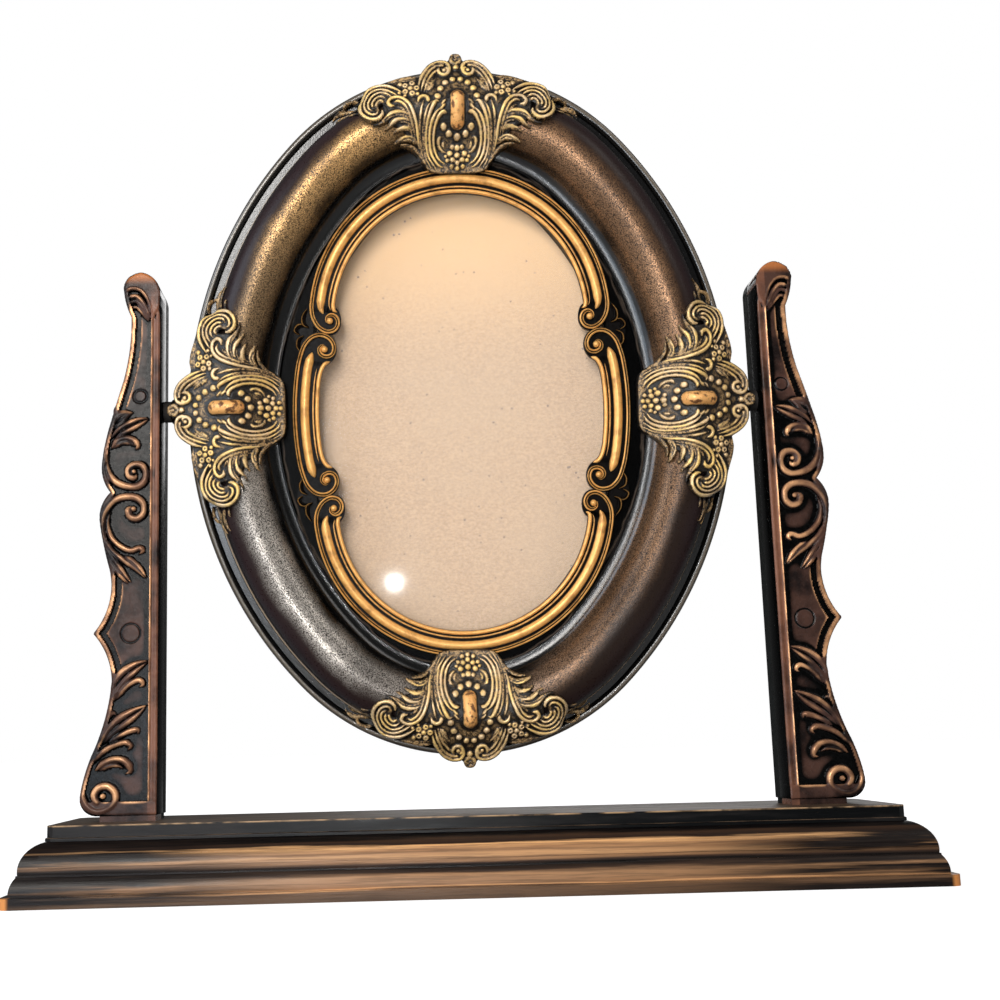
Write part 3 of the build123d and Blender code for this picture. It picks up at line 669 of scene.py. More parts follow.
def frame_ring(material):
    """The oval moulding with the two round lugs that the pivot screws enter."""
    shells = Shells()
    shells.add(*turned_ring(moulding_profile()))
    for side in (-1, 1):
        turned = [
            (side * u, PIVOT_ABOVE_CENTRE + r * math.cos(a), FRAME_BACK + side * r * math.sin(a))
            for u, r in LUG for a in np.arange(LUG_SIDES) * 2 * math.pi / LUG_SIDES
        ]
        faces = grid_faces(len(LUG), LUG_SIDES, False) + end_faces(len(LUG), LUG_SIDES)
        shells.add(turned, faces, [0.0] * len(turned))
    ring = as_piece(
        "frame_moulding", hang(shells.points), shells.faces, "swing_frame",
        material, {"across": shells.marks}, 38,
    )
    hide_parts("oval_frame")


# Ornaments: one carving, x across and y outward from its boss, laid over the moulding. The
# tables give v, the distance from the middle of the oval at the top ornament, instead of y.

ORNAMENT_END = 117.3
ORNAMENT_SIDE = 92.6
BOSS_RADIUS = 2.9
BOSS_HALF_RUN = 4.4
BOSS_FOOT = 0.6
BOSS_RISE = 3.6
TAIL_FROM, TAIL_TO = 34.5, 41.0
SINK, SINK_EASE = 2.0, 1.1
RIM_BACK, TAIL_BACK = 15.3, 9.2
BED_FROM, BED_BACK = 39.7, 15.7
CAP_LINE = [(-9, 17.9), (1, 20.9), (9.6, 26.05), (18.7, 29.45), (27.9, 24.25), (33.7, 20.0), (42.6, 17.0)]
HALF_PLATE = [
    (11, 95.6), (14.2, 99.5), (16, 104), (19, 107), (22, 110), (27, 112), (29, 117), (29, 124),
    (24, 129.5), (15.5, 130.5), (13.6, 133.6), (9.5, 137.2), (4, 138.6),
]

# Raised plates beside that one: height of the face and outline
ORNAMENT_PLATES = (
    (1.0, (-3.4, 137), (-2.6, 139.6), (0, 141.7), (2.6, 139.6), (3.4, 137)),
    (0.5, (13, 131.2), (20, 132.2), (27, 130.4), (33.5, 127.9), (30, 126.6), (22, 128), (15, 129)),
    (1.0, (24, 124), (28, 127), (33, 126.6), (36.8, 123.6), (37.4, 119), (35.6, 114.8),
     (32.2, 113.4), (29.8, 115.8), (30.4, 119), (27.4, 121)),
)

# Half width, height, foot, the shares over which the two ends taper off, and points
ORNAMENT_RIDGES = (
    # Loop and tails beside the tip
    (0.8, 0.9, 0.9, (0, 0), (0, 137.2), (-1.7, 138.6), (-1.3, 140.6), (0, 141.0), (1.3, 140.6),
     (1.7, 138.6), (0, 137.2)),
    (0.8, 0.7, 0.2, (0.2, 0.5), (14.5, 131.4), (20, 131.4), (26.5, 129.7), (33, 127.9)),
    (0.5, 0.6, 0.2, (0.2, 0.5), (15, 130.1), (20, 130.2), (25.5, 128.8)),
    # Shoulder ribbons that curl in beside the tip
    (0.85, 1.7, 0.4, (0, 0.25), (2.9, 134.0), (2.6, 135.8), (3.6, 137.6), (6.3, 138.2), (9.8, 136.8),
     (12.6, 133.5), (14.3, 129.6), (15.0, 126.6)),
    (0.7, 1.45, 0.4, (0, 0.25), (5.2, 136.6), (7.2, 136.5), (10.0, 134.6), (12.0, 131.2), (13.3, 127.5),
     (13.9, 125.2)),
    (0.62, 1.15, 0.4, (0, 0.25), (6.6, 134.9), (8.9, 133.2), (10.9, 130.0), (12.0, 127.0), (12.6, 124.6)),
    (0.75, 1.7, 0.4, (0.2, 0.1), (6.2, 136.2), (6.9, 134.6), (6.0, 132.6), (4.2, 132.3), (3.0, 133.6),
     (3.4, 135.2), (4.8, 135.3)),
    # Small pointed leaves under the ribbons
    (0.75, 1.0, 0.3, (0.4, 0.3), (7.8, 130.6), (9.4, 128.9), (10.8, 126.8), (11.9, 124.4)),
    (0.55, 0.9, 0.3, (0.4, 0.2), (8.9, 127.9), (10.0, 126.6), (11.3, 124.8)),
    (0.45, 0.9, 0.3, (0.4, 0.2), (8.9, 131.2), (10.3, 129.2), (11.6, 126.6)),
    # Curls under the boss
    (0.7, 1.0, 0.3, (0.2, 0.4), (6.0, 108.2), (7.3, 107.2), (7.3, 105.2), (6.0, 103.4), (4.4, 102.6)),
    (0.5, 0.8, 0.3, (0.2, 0.3), (5.4, 106.6), (5.6, 105.2), (4.8, 104.0)),
    # Straps that hold the boss like a lyre
    (0.7, 1.5, 0.4, (0.05, 0.3), (4.0, 115.9), (5.3, 116.2), (6.9, 115.2), (8.8, 111.6), (9.5, 107.0),
     (8.8, 102.8), (6.9, 99.6), (4.4, 98.0)),
    (0.78, 2.0, 0.4, (0.25, 0.3), (5.9, 118.0), (8.4, 115.8), (10.5, 111.4), (11.0, 106.6), (10.2, 102.0),
     (7.8, 98.2), (5.6, 96.9)),
    (0.78, 1.9, 0.4, (0.1, 0.3), (7.0, 119.9), (8.2, 120.2), (9.9, 117.6), (11.8, 112.0), (12.3, 106.5),
     (11.4, 101.0), (8.7, 96.9)),
    (0.62, 1.4, 0.4, (0.25, 0.3), (9.2, 120.8), (11.3, 118.4), (13.0, 112.8), (13.4, 106.8),
     (12.5, 101.0), (10.2, 96.4)),
    (0.75, 1.5, 0.4, (0.1, 0.3), (11.3, 119.6), (11.6, 121.6), (13.2, 122.5), (14.8, 121.6),
     (15.3, 119.8)),
    (0.6, 1.2, 0.3, (0.2, 0.3), (13.2, 120.6), (14.2, 116.6), (14.7, 111.6), (14.5, 106.6), (13.6, 101.2),
     (11.6, 96.6)),
    # Small leaves beside the boss
    (0.6, 1.1, 0.3, (0.3, 0.2), (4.6, 119.2), (5.8, 118.0), (6.6, 116.6)),
    (0.5, 0.9, 0.3, (0.3, 0.2), (4.2, 121.0), (5.4, 119.9), (6.2, 118.6)),
    # Small C scroll and its long leaf
    (0.75, 1.7, 0.4, (0.05, 0.25), (24.3, 118.7), (26.2, 118.9), (26.9, 120.6), (25.2, 122.3),
     (22.2, 122.2), (19.4, 120.0), (17.3, 115.8), (15.9, 110.8), (15.2, 105.4), (13.9, 100.4)),
    (0.65, 1.4, 0.35, (0.1, 0.3), (24.9, 120.3), (23.0, 120.7), (20.9, 119.3), (19.0, 116.0),
     (17.5, 111.4), (16.4, 106.2)),
    (0.6, 1.15, 0.3, (0.2, 0.3), (23.2, 118.6), (21.4, 117.4), (20.0, 114.6), (18.6, 110.8),
     (17.4, 107.2)),
    # Large C scroll with its folds
    (0.85, 2.3, 0.5, (0.2, 0.1), (21.2, 124.4), (24.2, 126.4), (27.8, 127.9), (32.0, 127.7),
     (36.0, 125.2), (38.0, 120.6), (37.4, 116.0), (34.3, 113.3), (31.0, 113.4), (29.3, 115.5),
     (29.5, 117.8)),
    (0.66, 2.0, 0.5, (0.2, 0.1), (22.8, 122.9), (26.0, 125.0), (29.2, 126.2), (32.2, 126.0),
     (35.0, 123.8), (36.4, 120.2), (35.7, 117.0), (33.6, 115.2), (31.6, 115.4), (30.9, 117.2)),
    (0.62, 1.9, 0.5, (0.2, 0.1), (25.2, 122.6), (28.0, 124.4), (30.8, 124.7), (33.2, 123.2),
     (34.8, 120.2), (34.4, 117.6), (32.8, 116.9)),
    (0.6, 1.8, 0.5, (0.2, 0.1), (27.4, 122.0), (29.6, 123.1), (31.6, 122.4), (33.2, 120.2),
     (33.0, 118.0)),
    (0.55, 1.6, 0.5, (0.2, 0.1), (28.6, 120.4), (30.0, 121.4), (31.4, 120.3), (31.9, 118.4)),
    # Leaves along the inner sides
    (1.15, 1.5, 0.2, (0.2, 0.5), (17.2, 113.4), (21.0, 115.6), (25.2, 115.6), (28.6, 112.8),
     (31.2, 111.3), (34.0, 111.2)),
    (1.0, 1.4, 0.2, (0.2, 0.5), (16.8, 111.4), (20.6, 113.3), (24.6, 112.7), (27.4, 110.2),
     (30.0, 109.3)),
    (0.95, 1.3, 0.2, (0.2, 0.5), (16.2, 109.0), (19.6, 110.6), (22.9, 109.9), (26.4, 107.8)),
    (1.05, 1.4, 0.2, (0.2, 0.4), (15.2, 104.8), (18.0, 107.0), (21.2, 106.9), (24.4, 105.4),
     (25.0, 104.4)),
    (0.7, 1.1, 0.2, (0.1, 0.4), (12.4, 98.2), (14.6, 101.6), (17.6, 104.2), (21.4, 105.0), (24.2, 104.2)),
    # Tails that run out along the rim
    (0.7, 1.1, 0.2, (0.2, 0.2), (37.6, 124.4), (40.8, 125.3), (43.8, 124.2), (44.6, 122.4),
     (43.2, 121.5)),
    (0.9, 1.2, 0.2, (0.2, 0.4), (38.4, 122.0), (42.0, 121.6), (45.8, 121.2), (48.6, 119.4),
     (49.8, 117.2)),
    (0.8, 1.1, 0.2, (0.2, 0.4), (38.2, 118.8), (41.6, 119.6), (45.0, 119.2), (47.8, 117.6),
     (48.4, 115.8)),
    (0.6, 0.9, 0.2, (0.2, 0.4), (38.6, 117.2), (41.4, 117.4), (43.6, 116.4)),
)

# Height, foot and places with a radius
ORNAMENT_BEADS = (
    (0.8, 0.8, (0, 139.5, 1.0)),
    (1.5, 0.3, (0, 136.0, 1.5)),
    (1.7, 0.4, (4.7, 134.3, 1.0)),
    # Pearls above and below the boss
    (1.45, 0.35, (1.55, 129.9, 1.15), (4.4, 128.4, 1.25), (6.4, 125.7, 1.3), (7.7, 122.2, 1.35),
     (5.4, 111.3, 1.35), (3.25, 109.0, 1.3), (0.0, 108.0, 1.35)),
    # Rosette at the inner end
    (1.4, 0.3, (0, 104.2, 1.35), (1.9, 104.6, 0.9), (2.9, 102.2, 1.3), (1.9, 99.8, 1.25),
     (0, 98.6, 1.2), (3.9, 99.6, 0.9), (2.2, 97.4, 0.9), (4.6, 101.2, 0.7)),
    (1.8, 0.4, (0, 101.5, 1.25)),
    (1.2, 0.3, (0, 96.7, 1.0)),
    # Beads round the flower
    (1.2, 0.4, (22.6, 124.2, 0.9), (22.2, 128.4, 1.0), (15.4, 123.6, 0.9), (20.4, 122.9, 0.8)),
)
LEAF_VEINS = (
    ((18, 114.2), (22, 115.4), (26, 114.6), (29.2, 112.2)),
    ((17.6, 112.0), (21, 113.0), (24.6, 112.0)),
    ((16.6, 106.2), (19, 107.2), (22, 106.4)),
)
FLOWER = (18.2, 126.2)
PETALS = 5


def outward(points):
    """From distances off the middle of the oval to the carving's own y."""
    return [(x, v - ORNAMENT_END) for x, v in points]


def boss_reach(x, y):
    """Distance from the long boss's middle line, 1 at its edge."""
    return np.hypot(x / BOSS_RADIUS, np.clip(np.abs(y) - BOSS_HALF_RUN, 0, 9) / BOSS_RADIUS)


def ornament_carving():
    c = Carving(left=-50.4, right=50.4, low=-23.4, high=26.4, cell=0.3, swell=1.1)
    other_half = [(-x, v) for x, v in HALF_PLATE[::-1]]
    c.ground(outward([(0, 94.6), *HALF_PLATE, (0, 138.9), *other_half]), 0.35)
    for height, *outline in ORNAMENT_PLATES:
        c.ground(outward(outline), height)
    c.ridges(ORNAMENT_RIDGES, outward)
    c.beads(ORNAMENT_BEADS, outward)
    x, y = outward([FLOWER])[0]
    for k in range(PETALS):
        a = math.radians(108) + 2 * math.pi * k / PETALS
        c.bead(x + 2.35 * math.cos(a), y + 2.35 * math.sin(a), radius=1.35, height=1.5, foot=0.4)
        c.pit(x + 2.5 * math.cos(a), y + 2.5 * math.sin(a), radius=0.6, depth=0.7)
    c.bead(x, y, radius=1.15, height=1.9, foot=0.4)
    for vein in LEAF_VEINS:
        c.groove(outward(vein), 0.35, 0.8)
    c.mirrored()
    w = c.window(-3.2, 3.2, -7.6, 7.6)
    d = boss_reach(c.X[w], c.Y[w])
    boss = BOSS_FOOT + BOSS_RISE * np.sqrt(np.clip(1 - d * d, 0, 1))
    c.raise_to(w, np.where(d < 1, boss, EMPTY))
    return c


def smooth_step(x, low, high):
    t = np.clip((x - low) / (high - low), 0, 1)
    return t * t * (3 - 2 * t)


def ornaments(material):
    """The four castings: one carving bent over the moulding at the top, bottom and sides."""
    flat, lift, faces, values = ornament_carving().solid()
    x, y = flat.T
    values["boss"] = np.tile((boss_reach(x, y) < 0.92).astype(float), 2)
    low = smooth_step(np.abs(x), TAIL_FROM, TAIL_TO)
    cap = curve(CAP_LINE, 0.5)
    face = np.array(moulding_profile())
    face = face[:np.argmax(face[:, 0] >= BED_OFFSET) + 1]
    for where, turn in (("top", 0), ("left", 1), ("bottom", 2), ("right", 3)):
        sideways = turn % 2
        out = y + (ORNAMENT_SIDE if sideways else ORNAMENT_END)
        c, s = math.cos(turn * math.pi / 2), math.sin(turn * math.pi / 2)
        u = x * c - out * s
        w = x * s + out * c + PIVOT_ABOVE_CENTRE * sideways
        inward = edge_offset(u, w)
        skin = np.interp(inward, face[:, 0], face[:, 1])
        # The cap carries the carving; past its ends the tails lie on the moulding itself
        sink = SINK - SINK_EASE * smooth_step(inward, 34, 39)
        raised = np.interp(inward, cap[:, 0], cap[:, 1]) - sink
        front = raised * (1 - low) + (skin + 0.2) * low + lift
        # Behind it, beyond the rim, in the moulding's face and over the liner's bed
        back = np.where(inward < 0, RIM_BACK * (1 - low) + TAIL_BACK * low, skin - 0.6)
        back = np.where(inward > BED_FROM, BED_BACK, back)
        back = np.minimum(back, front - 0.4)
        points = np.vstack([np.column_stack([u, w, front]), np.column_stack([u, w, back])])
        piece = as_piece(
            f"carved_ornament_{where}", hang(points), faces.tolist(), "swing_frame",
            material, values, 0,
        )
        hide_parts(f"ornament_{where}")


# Scroll liner: arcs about two middles above and below, side scrolls along the oval

ARC_CENTRE = 37.5
THIN_RADIUS = 59.5
WIDE_RADIUS = 56.0
FAINT_RADIUS = 52.8
INNER_RADIUS = 51.0
THIN_OFFSET = 42.9
WIDE_OFFSET = 46.9
FAINT_OFFSET = 50.2
INNER_OFFSET = 51.8
LINER_SEAT = 11.5
LINER_GROUND = 13.3


def half_round(width, rise, count=9):
    """Section of a bead with straight sides below, and how golden each of its points is."""
    angles = np.linspace(0, math.pi, count)
    section = [(-width, -1.2), (width, -1.2)]
    section += [(width * math.cos(a), rise * math.sin(a)) for a in angles]
    return section, [0, 0] + [math.sin(a) ** 0.6 for a in angles]


def twin_bead():
    """Section of the outer bead: a bright crest with a fainter one beside it."""
    section = [(-0.95, -1.2), (0.95, -1.2), (0.95, 0.6), (0.8, 1.05), (0.5, 1.2), (0.2, 0.95),
               (0.0, 0.85), (-0.15, 1.05), (-0.45, 1.5), (-0.75, 1.3), (-0.95, 0.6)]
    return section, [0, 0, 0.1, 0.45, 0.55, 0.3, 0.05, 0.6, 1.0, 0.7, 0.1]


def at_height(rows, h):
    return [(u, w, h) for u, w in rows]


def arc_run(radius, end, count=44):
    """Along a circle about the arc's middle, from the top of the opening down to height end."""
    last = math.asin((end - ARC_CENTRE) / radius)
    angles = np.linspace(math.pi / 2, last, count)
    return [(radius * math.cos(a), ARC_CENTRE + radius * math.sin(a)) for a in angles]


def side_run(offset, end, count=16):
    """Along the side of the oval at one offset, from the middle up to height end."""
    radius = SIDE_RADIUS - offset
    angles = np.linspace(0, math.asin(end / radius), count)
    return [(radius * math.cos(a) - SIDE_CENTRE, radius * math.sin(a)) for a in angles]


def quarter_liner():
    """Upper right quarter: half of the long arc's beads, and half of the side scroll's."""
    q = Shells()
    ground, leaf_ground = LINER_GROUND, LINER_GROUND - 0.4
    thin = twin_bead()
    wide = half_round(1.85, 2.1, 11)
    section, gold = half_round(0.45, 0.6)
    faint = section, [0.6 * g for g in gold]
    inner = half_round(0.85, 1.5)
    runs = (
        (thin, 0.06, arc_run(THIN_RADIUS, 46.0), [
            (59.2, 42.5), (58.6, 38.7), (56.4, 35.0), (53.2, 33.2), (50.2, 33.9), (48.8, 36.4),
            (49.6, 39.0), (51.6, 39.9), (53.3, 38.8), (53.3, 37.1), (52.0, 36.5)]),
        (wide, 0.05, arc_run(WIDE_RADIUS, 45.4), [(55.5, 42.6), (54.6, 40.4)]),
        (faint, 0.1, arc_run(FAINT_RADIUS, 46.0), [(52.2, 43.6), (51.6, 41.8)]),
        (inner, 0.03, arc_run(INNER_RADIUS, 43.6), [(50.2, 41.5), (49.0, 40.9)]),
        (thin, 0.08, side_run(THIN_OFFSET, 18.0), [
            (64.6, 21.9), (62.2, 28.2), (58.9, 31.3), (55.0, 31.8), (51.9, 30.0), (50.5, 26.8),
            (51.5, 23.9), (53.9, 23.2), (56.1, 24.4), (56.5, 26.5), (55.1, 27.8), (53.7, 27.1)]),
        (wide, 0.12, side_run(WIDE_OFFSET, 18.0), [(60.5, 21.6), (59.3, 25.0)]),
        (faint, 0.3, side_run(FAINT_OFFSET, 15.0), [(57.7, 18.6)]),
        (inner, 0.06, side_run(INNER_OFFSET, 14.0), [(55.8, 18.2), (54.3, 20.4), (52.3, 21.2)]),
    )
    for (section, gold), end, start, rest in runs:
        q.bar(at_height(curve(start + rest, 0.9), ground), section, gold, (0, end))
    for u, w in ((52.0, 37.4), (54.4, 26.1)):
        q.knob(u, w, ground, 1.5, 2.3)
    # Ground of the two strips and of the curled ends
    strip = [(-5.1, -1.8), (5.1, -1.8), (5.1, 0), (-5.1, 0)]
    for run in (arc_run(THIN_RADIUS - 4.2, 41.0), side_run(THIN_OFFSET + 4.4, 22.0)):
        q.bar(at_height(run, ground), strip, [0, 0, 0, 0], (0, 0))
    q.plate([(60.3, 43.0), (50.0, 43.0), (48.0, 40.5), (47.8, 35.5), (50.0, 32.4), (54.0, 32.2),
             (58.2, 35.2), (60.3, 39.5)], LINER_SEAT, ground)
    q.plate([(65.6, 20.0), (63.7, 27.8), (59.4, 32.6), (54.6, 32.8), (50.8, 30.6), (49.5, 26.6),
             (50.6, 22.6), (54.0, 20.0)], LINER_SEAT, ground)
    # Small leaves between the scrolls
    section, gold = thin
    for leaf in (
        [(60.9, 42.6), (62.6, 39.2), (62.4, 36.4), (60.4, 35.0)],
        [(61.6, 35.6), (64.4, 35.8), (65.8, 33.8), (64.2, 32.2)],
        [(62.4, 31.8), (64.6, 30.2), (64.9, 27.4), (63.8, 25.4)],
    ):
        line = at_height(curve(leaf, 0.6), leaf_ground)
        q.bar(line, section, [g * 0.5 for g in gold], (0.4, 0.3))
    q.plate([(61.0, 43.4), (59.2, 38.0), (58.8, 33.2), (62.6, 27.0), (64.6, 24.8), (65.8, 28.0),
             (66.4, 33.6), (63.6, 37.4)], LINER_SEAT, leaf_ground)
    return q


def scroll_liner(material):
    quarter = quarter_liner()
    whole = Shells()
    for turn_u, turn_w in ((1, 1), (-1, 1), (-1, -1), (1, -1)):
        whole.join_mirrored(quarter, turn_u, turn_w)
    piece = as_piece(
        "gilded_liner", hang(whole.points), whole.faces, "swing_frame", material,
        {"gold": whole.marks}, 55,
    )
    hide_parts("scroll_liner")


# Posts: d outward from the inner face, z up from the table

POST_LOW = BASE_TOP + 2.1


def post_outline():
    z0 = BASE_TOP
    arcs = [
        ((0, 205.5), (1.9, 211.6), (7.0, 215.0)),
        ((7.0, 215.0), (12.2, 213.6), (14.7, 208.9)),
        ((14.7, 208.9), (13.9, 203.2), (11.5, 196.6)),
        ((11.5, 196.6), (12.0, 184.0), (14.4, 170.5)),
        ((14.4, 170.5), (16.8, 162.4), (19.1, 154.2)),
        ((19.1, 154.2), (21.7, 143.0), (22.5, 136.2)),
        ((22.5, 136.2), (21.7, 130.6), (19.0, 125.7)),
        ((19.0, 125.7), (22.1, 121.2), (23.1, 115.2)),
        ((23.1, 115.2), (21.5, 105.6), (18.9, 95.2)),
        ((18.9, 95.2), (19.2, 81.5), (24.9, 70.7)),
        ((24.9, 70.7), (18.9, 60.2), (17.6, 52.0)),
        ((17.6, 52.0), (19.5, 40.3), (23.8, 27.0)),
        ((23.8, 27.0), (27.1, 18.4), (29.1, 9.2)),
        ((29.1, 9.2), (27.4, 4.2), (22.5, 2.1)),
    ]
    line = [(0.0, POST_LOW)]
    for first, middle, last in arcs:
        middle = (middle[0] + (1e-3 if first[0] < last[0] else 0), middle[1])
        points = arc_points(first, middle, last, 14)
        line += [(d, z + z0) for d, z in points[:-1]]
    line.append((22.5, POST_LOW))
    return np.array(line)


# The strokes below were read as distances from the middle plane, in a picture of the post
# that leans a little: what that adds at height READ_FROM, and with each millimetre above it
READ_SHIFT = 0.5
READ_LEAN = 0.0085
READ_FROM = 30

# Levels of the post's face, below its rim, and the widths of what runs along its sides
PANEL_LEVEL = -1.5
CHANNEL_LEVEL = -2.6
CHANNEL_RUNS = ((186, 228), (84, 121))
CHANNEL_REACH = 3.7
CURVED_FROM = 4.5
RIM_WIDTH = 1.7
BORDER_WIDTH = 3.7
BORDER_GROOVE = (1.7, 2.9)
FOOT_TOP = 35.2
FOOT_BLOCK = (0.6, 21.6)

# Outline of the raised ground under the curled leaf at the head
POST_HEAD = [
    (137.2, 235.5), (135.6, 240.0), (132.0, 242.8), (127.5, 243.6), (123.0, 241.6), (121.2, 238.0),
    (121.4, 229.0), (123.0, 225.6), (124.7, 223.6), (125.7, 227.0), (126.9, 231.0),
    (129.2, 234.4), (132.5, 236.0), (135.0, 235.2),
]

# Half width, height, foot, the shares over which the two ends taper off, and points
POST_RIDGES = (
    # Curled leaf at the head
    (0.6, 1.6, -0.9, (0.1, 0.2), (136.2, 234.6), (133.5, 236.4), (130.0, 235.8), (127.4, 233.0),
     (125.8, 229.2), (124.5, 224.2)),
    (0.75, 1.9, -1.5, (0.1, 0.2), (134.9, 232.6), (131.6, 233.2), (128.9, 230.8), (126.9, 227.2),
     (125.3, 223.6)),
    (0.6, 1.4, -1.5, (0.1, 0.2), (134.6, 230.3), (131.7, 231.3), (129.3, 228.9), (127.5, 226.0),
     (126.0, 223.2)),
    (0.5, 1.0, -1.5, (0.1, 0.2), (133.6, 228.5), (131.4, 228.9), (129.4, 227.0), (127.5, 224.8),
     (126.4, 222.8)),
    # Two pointed leaves and a curl above the upper scroll
    (1.3, 1.5, -1.4, (0.3, 0.5), (140.2, 180.0), (139.0, 183.6), (135.8, 185.2), (132.0, 185.6)),
    (0.8, 1.2, -1.4, (0.2, 0.4), (139.6, 179.0), (136.6, 181.4), (134.4, 184.0), (132.6, 185.2)),
    (0.8, 1.7, -1.4, (0.3, 0.4), (140.6, 175.0), (137.6, 178.6), (133.4, 181.2), (129.2, 182.9),
     (125.8, 183.2)),
    (0.75, 1.5, -1.4, (0.3, 0.4), (139.4, 174.2), (136.4, 176.8), (132.4, 179.0), (128.6, 181.0),
     (125.8, 182.8)),
    (0.85, 1.5, -1.4, (0.2, 0.2), (140.3, 171.0), (137.6, 174.4), (134.0, 175.2), (130.9, 173.9),
     (129.9, 171.6), (131.0, 170.9)),
    (0.6, 1.2, -1.4, (0.2, 0.3), (139.2, 171.4), (136.6, 173.2), (133.6, 173.3), (131.4, 172.2)),
    # Upper scroll
    (1.1, 1.6, -1.4, (0.3, 0.1), (141.3, 178.0), (142.7, 171.0), (143.2, 165.0), (142.2, 159.6),
     (140.6, 156.6)),
    (0.95, 1.8, -1.4, (0.25, 0.05), (141.4, 170.0), (141.5, 163.4), (139.0, 158.6), (134.6, 156.2),
     (130.0, 155.8), (127.0, 158.0), (126.4, 161.4), (128.3, 164.2), (131.3, 164.4), (133.3, 162.4),
     (132.7, 159.9), (130.8, 159.4), (130.0, 161.0)),
    # Lower scroll, facing it
    (0.95, 1.8, -1.4, (0.05, 0.2), (131.2, 148.0), (133.0, 146.6), (132.2, 144.0), (129.6, 143.2),
     (127.2, 145.2), (127.2, 148.6), (129.8, 151.2), (134.2, 151.8), (138.8, 150.2), (142.0, 146.0),
     (143.0, 140.0), (141.6, 133.0), (139.0, 128.0)),
    (0.75, 1.5, -1.4, (0.3, 0.1), (139.8, 146.6), (141.0, 141.6), (139.6, 136.2), (136.0, 132.4),
     (131.8, 130.6), (128.2, 131.4), (127.2, 130.4), (128.6, 129.0)),
    (0.8, 1.6, -1.4, (0.2, 0.35), (142.6, 137.0), (139.4, 131.0), (135.4, 127.4), (131.0, 124.4),
     (126.2, 119.8)),
    (0.7, 1.5, -1.4, (0.2, 0.35), (134.4, 128.6), (130.8, 126.2), (128.0, 123.4), (125.6, 120.0)),
    (0.8, 1.6, -1.4, (0.2, 0.35), (142.4, 133.0), (138.6, 127.6), (135.4, 123.2), (131.6, 118.2)),
    (0.65, 1.4, -1.4, (0.2, 0.35), (140.8, 127.6), (138.0, 124.0), (135.2, 120.4), (132.6, 117.8)),
    # Leaves of the foot
    (0.95, 1.8, -1.4, (0.2, 0.4), (139.4, 73.0), (137.4, 79.4), (133.6, 84.0), (128.4, 87.0),
     (124.2, 87.8)),
    (0.85, 1.5, -1.4, (0.2, 0.4), (137.8, 72.0), (135.6, 77.4), (131.8, 81.8), (127.8, 85.0),
     (124.4, 87.4)),
    (0.75, 1.4, -1.4, (0.2, 0.2), (136.2, 73.4), (133.6, 77.2), (130.6, 79.6), (127.6, 80.4),
     (126.2, 79.0), (127.6, 77.8)),
    (0.8, 1.3, -1.4, (0.2, 0.3), (141.6, 60.0), (140.2, 66.0), (137.4, 68.2), (135.8, 67.0)),
    (0.95, 1.8, -1.4, (0.2, 0.4), (143.0, 55.0), (139.4, 61.6), (134.8, 66.2), (129.4, 69.2),
     (124.2, 71.0)),
    (0.85, 1.4, -1.4, (0.2, 0.4), (141.2, 56.4), (137.4, 60.6), (132.6, 64.2), (128.0, 67.6),
     (124.8, 70.6)),
    (0.75, 1.4, -1.4, (0.2, 0.2), (139.2, 56.8), (134.8, 59.6), (130.6, 61.4), (127.8, 61.6),
     (127.8, 60.2)),
    (0.8, 1.6, -1.4, (0.2, 0.2), (145.4, 49.0), (141.4, 53.4), (136.6, 56.2), (132.2, 57.0),
     (130.4, 55.6), (131.6, 54.2)),
    (0.9, 1.7, -1.4, (0.2, 0.2), (143.8, 46.6), (140.6, 49.4), (136.6, 50.8), (133.2, 50.4),
     (130.9, 48.2), (130.6, 46.2), (132.2, 45.4)),
    (0.6, 1.2, -1.4, (0.2, 0.3), (142.2, 46.8), (138.8, 48.4), (135.4, 48.6), (133.0, 47.4)),
    # Volute of the foot
    (0.95, 1.9, -1.4, (0.3, 0.05), (147.2, 46.0), (148.4, 40.0), (147.0, 34.6), (143.2, 31.8),
     (139.0, 32.4), (136.0, 35.0), (136.2, 38.6), (138.8, 40.8), (142.0, 40.4), (143.8, 37.8),
     (142.8, 35.2), (140.4, 34.8)),
)

# Height, foot and places with a radius: the middles of the scrolls and the volute
POST_BEADS = (
    (1.7, -1.2, (131.2, 161.7, 1.1), (131.0, 146.8, 1.1)),
    (1.8, -1.3, (140.6, 37.2, 1.2)),
)

# Faint round moulding marks on the panel: place and radius
POST_MARKS = ((129.4, 192.3, 2.6), (131.4, 98.5, 3.7))


def on_post(points):
    """From distance off the middle plane and height, as read, to the post's own d and z."""
    return [(x - INNER_FACE - READ_SHIFT - READ_LEAN * (z - READ_FROM), z) for x, z in points]


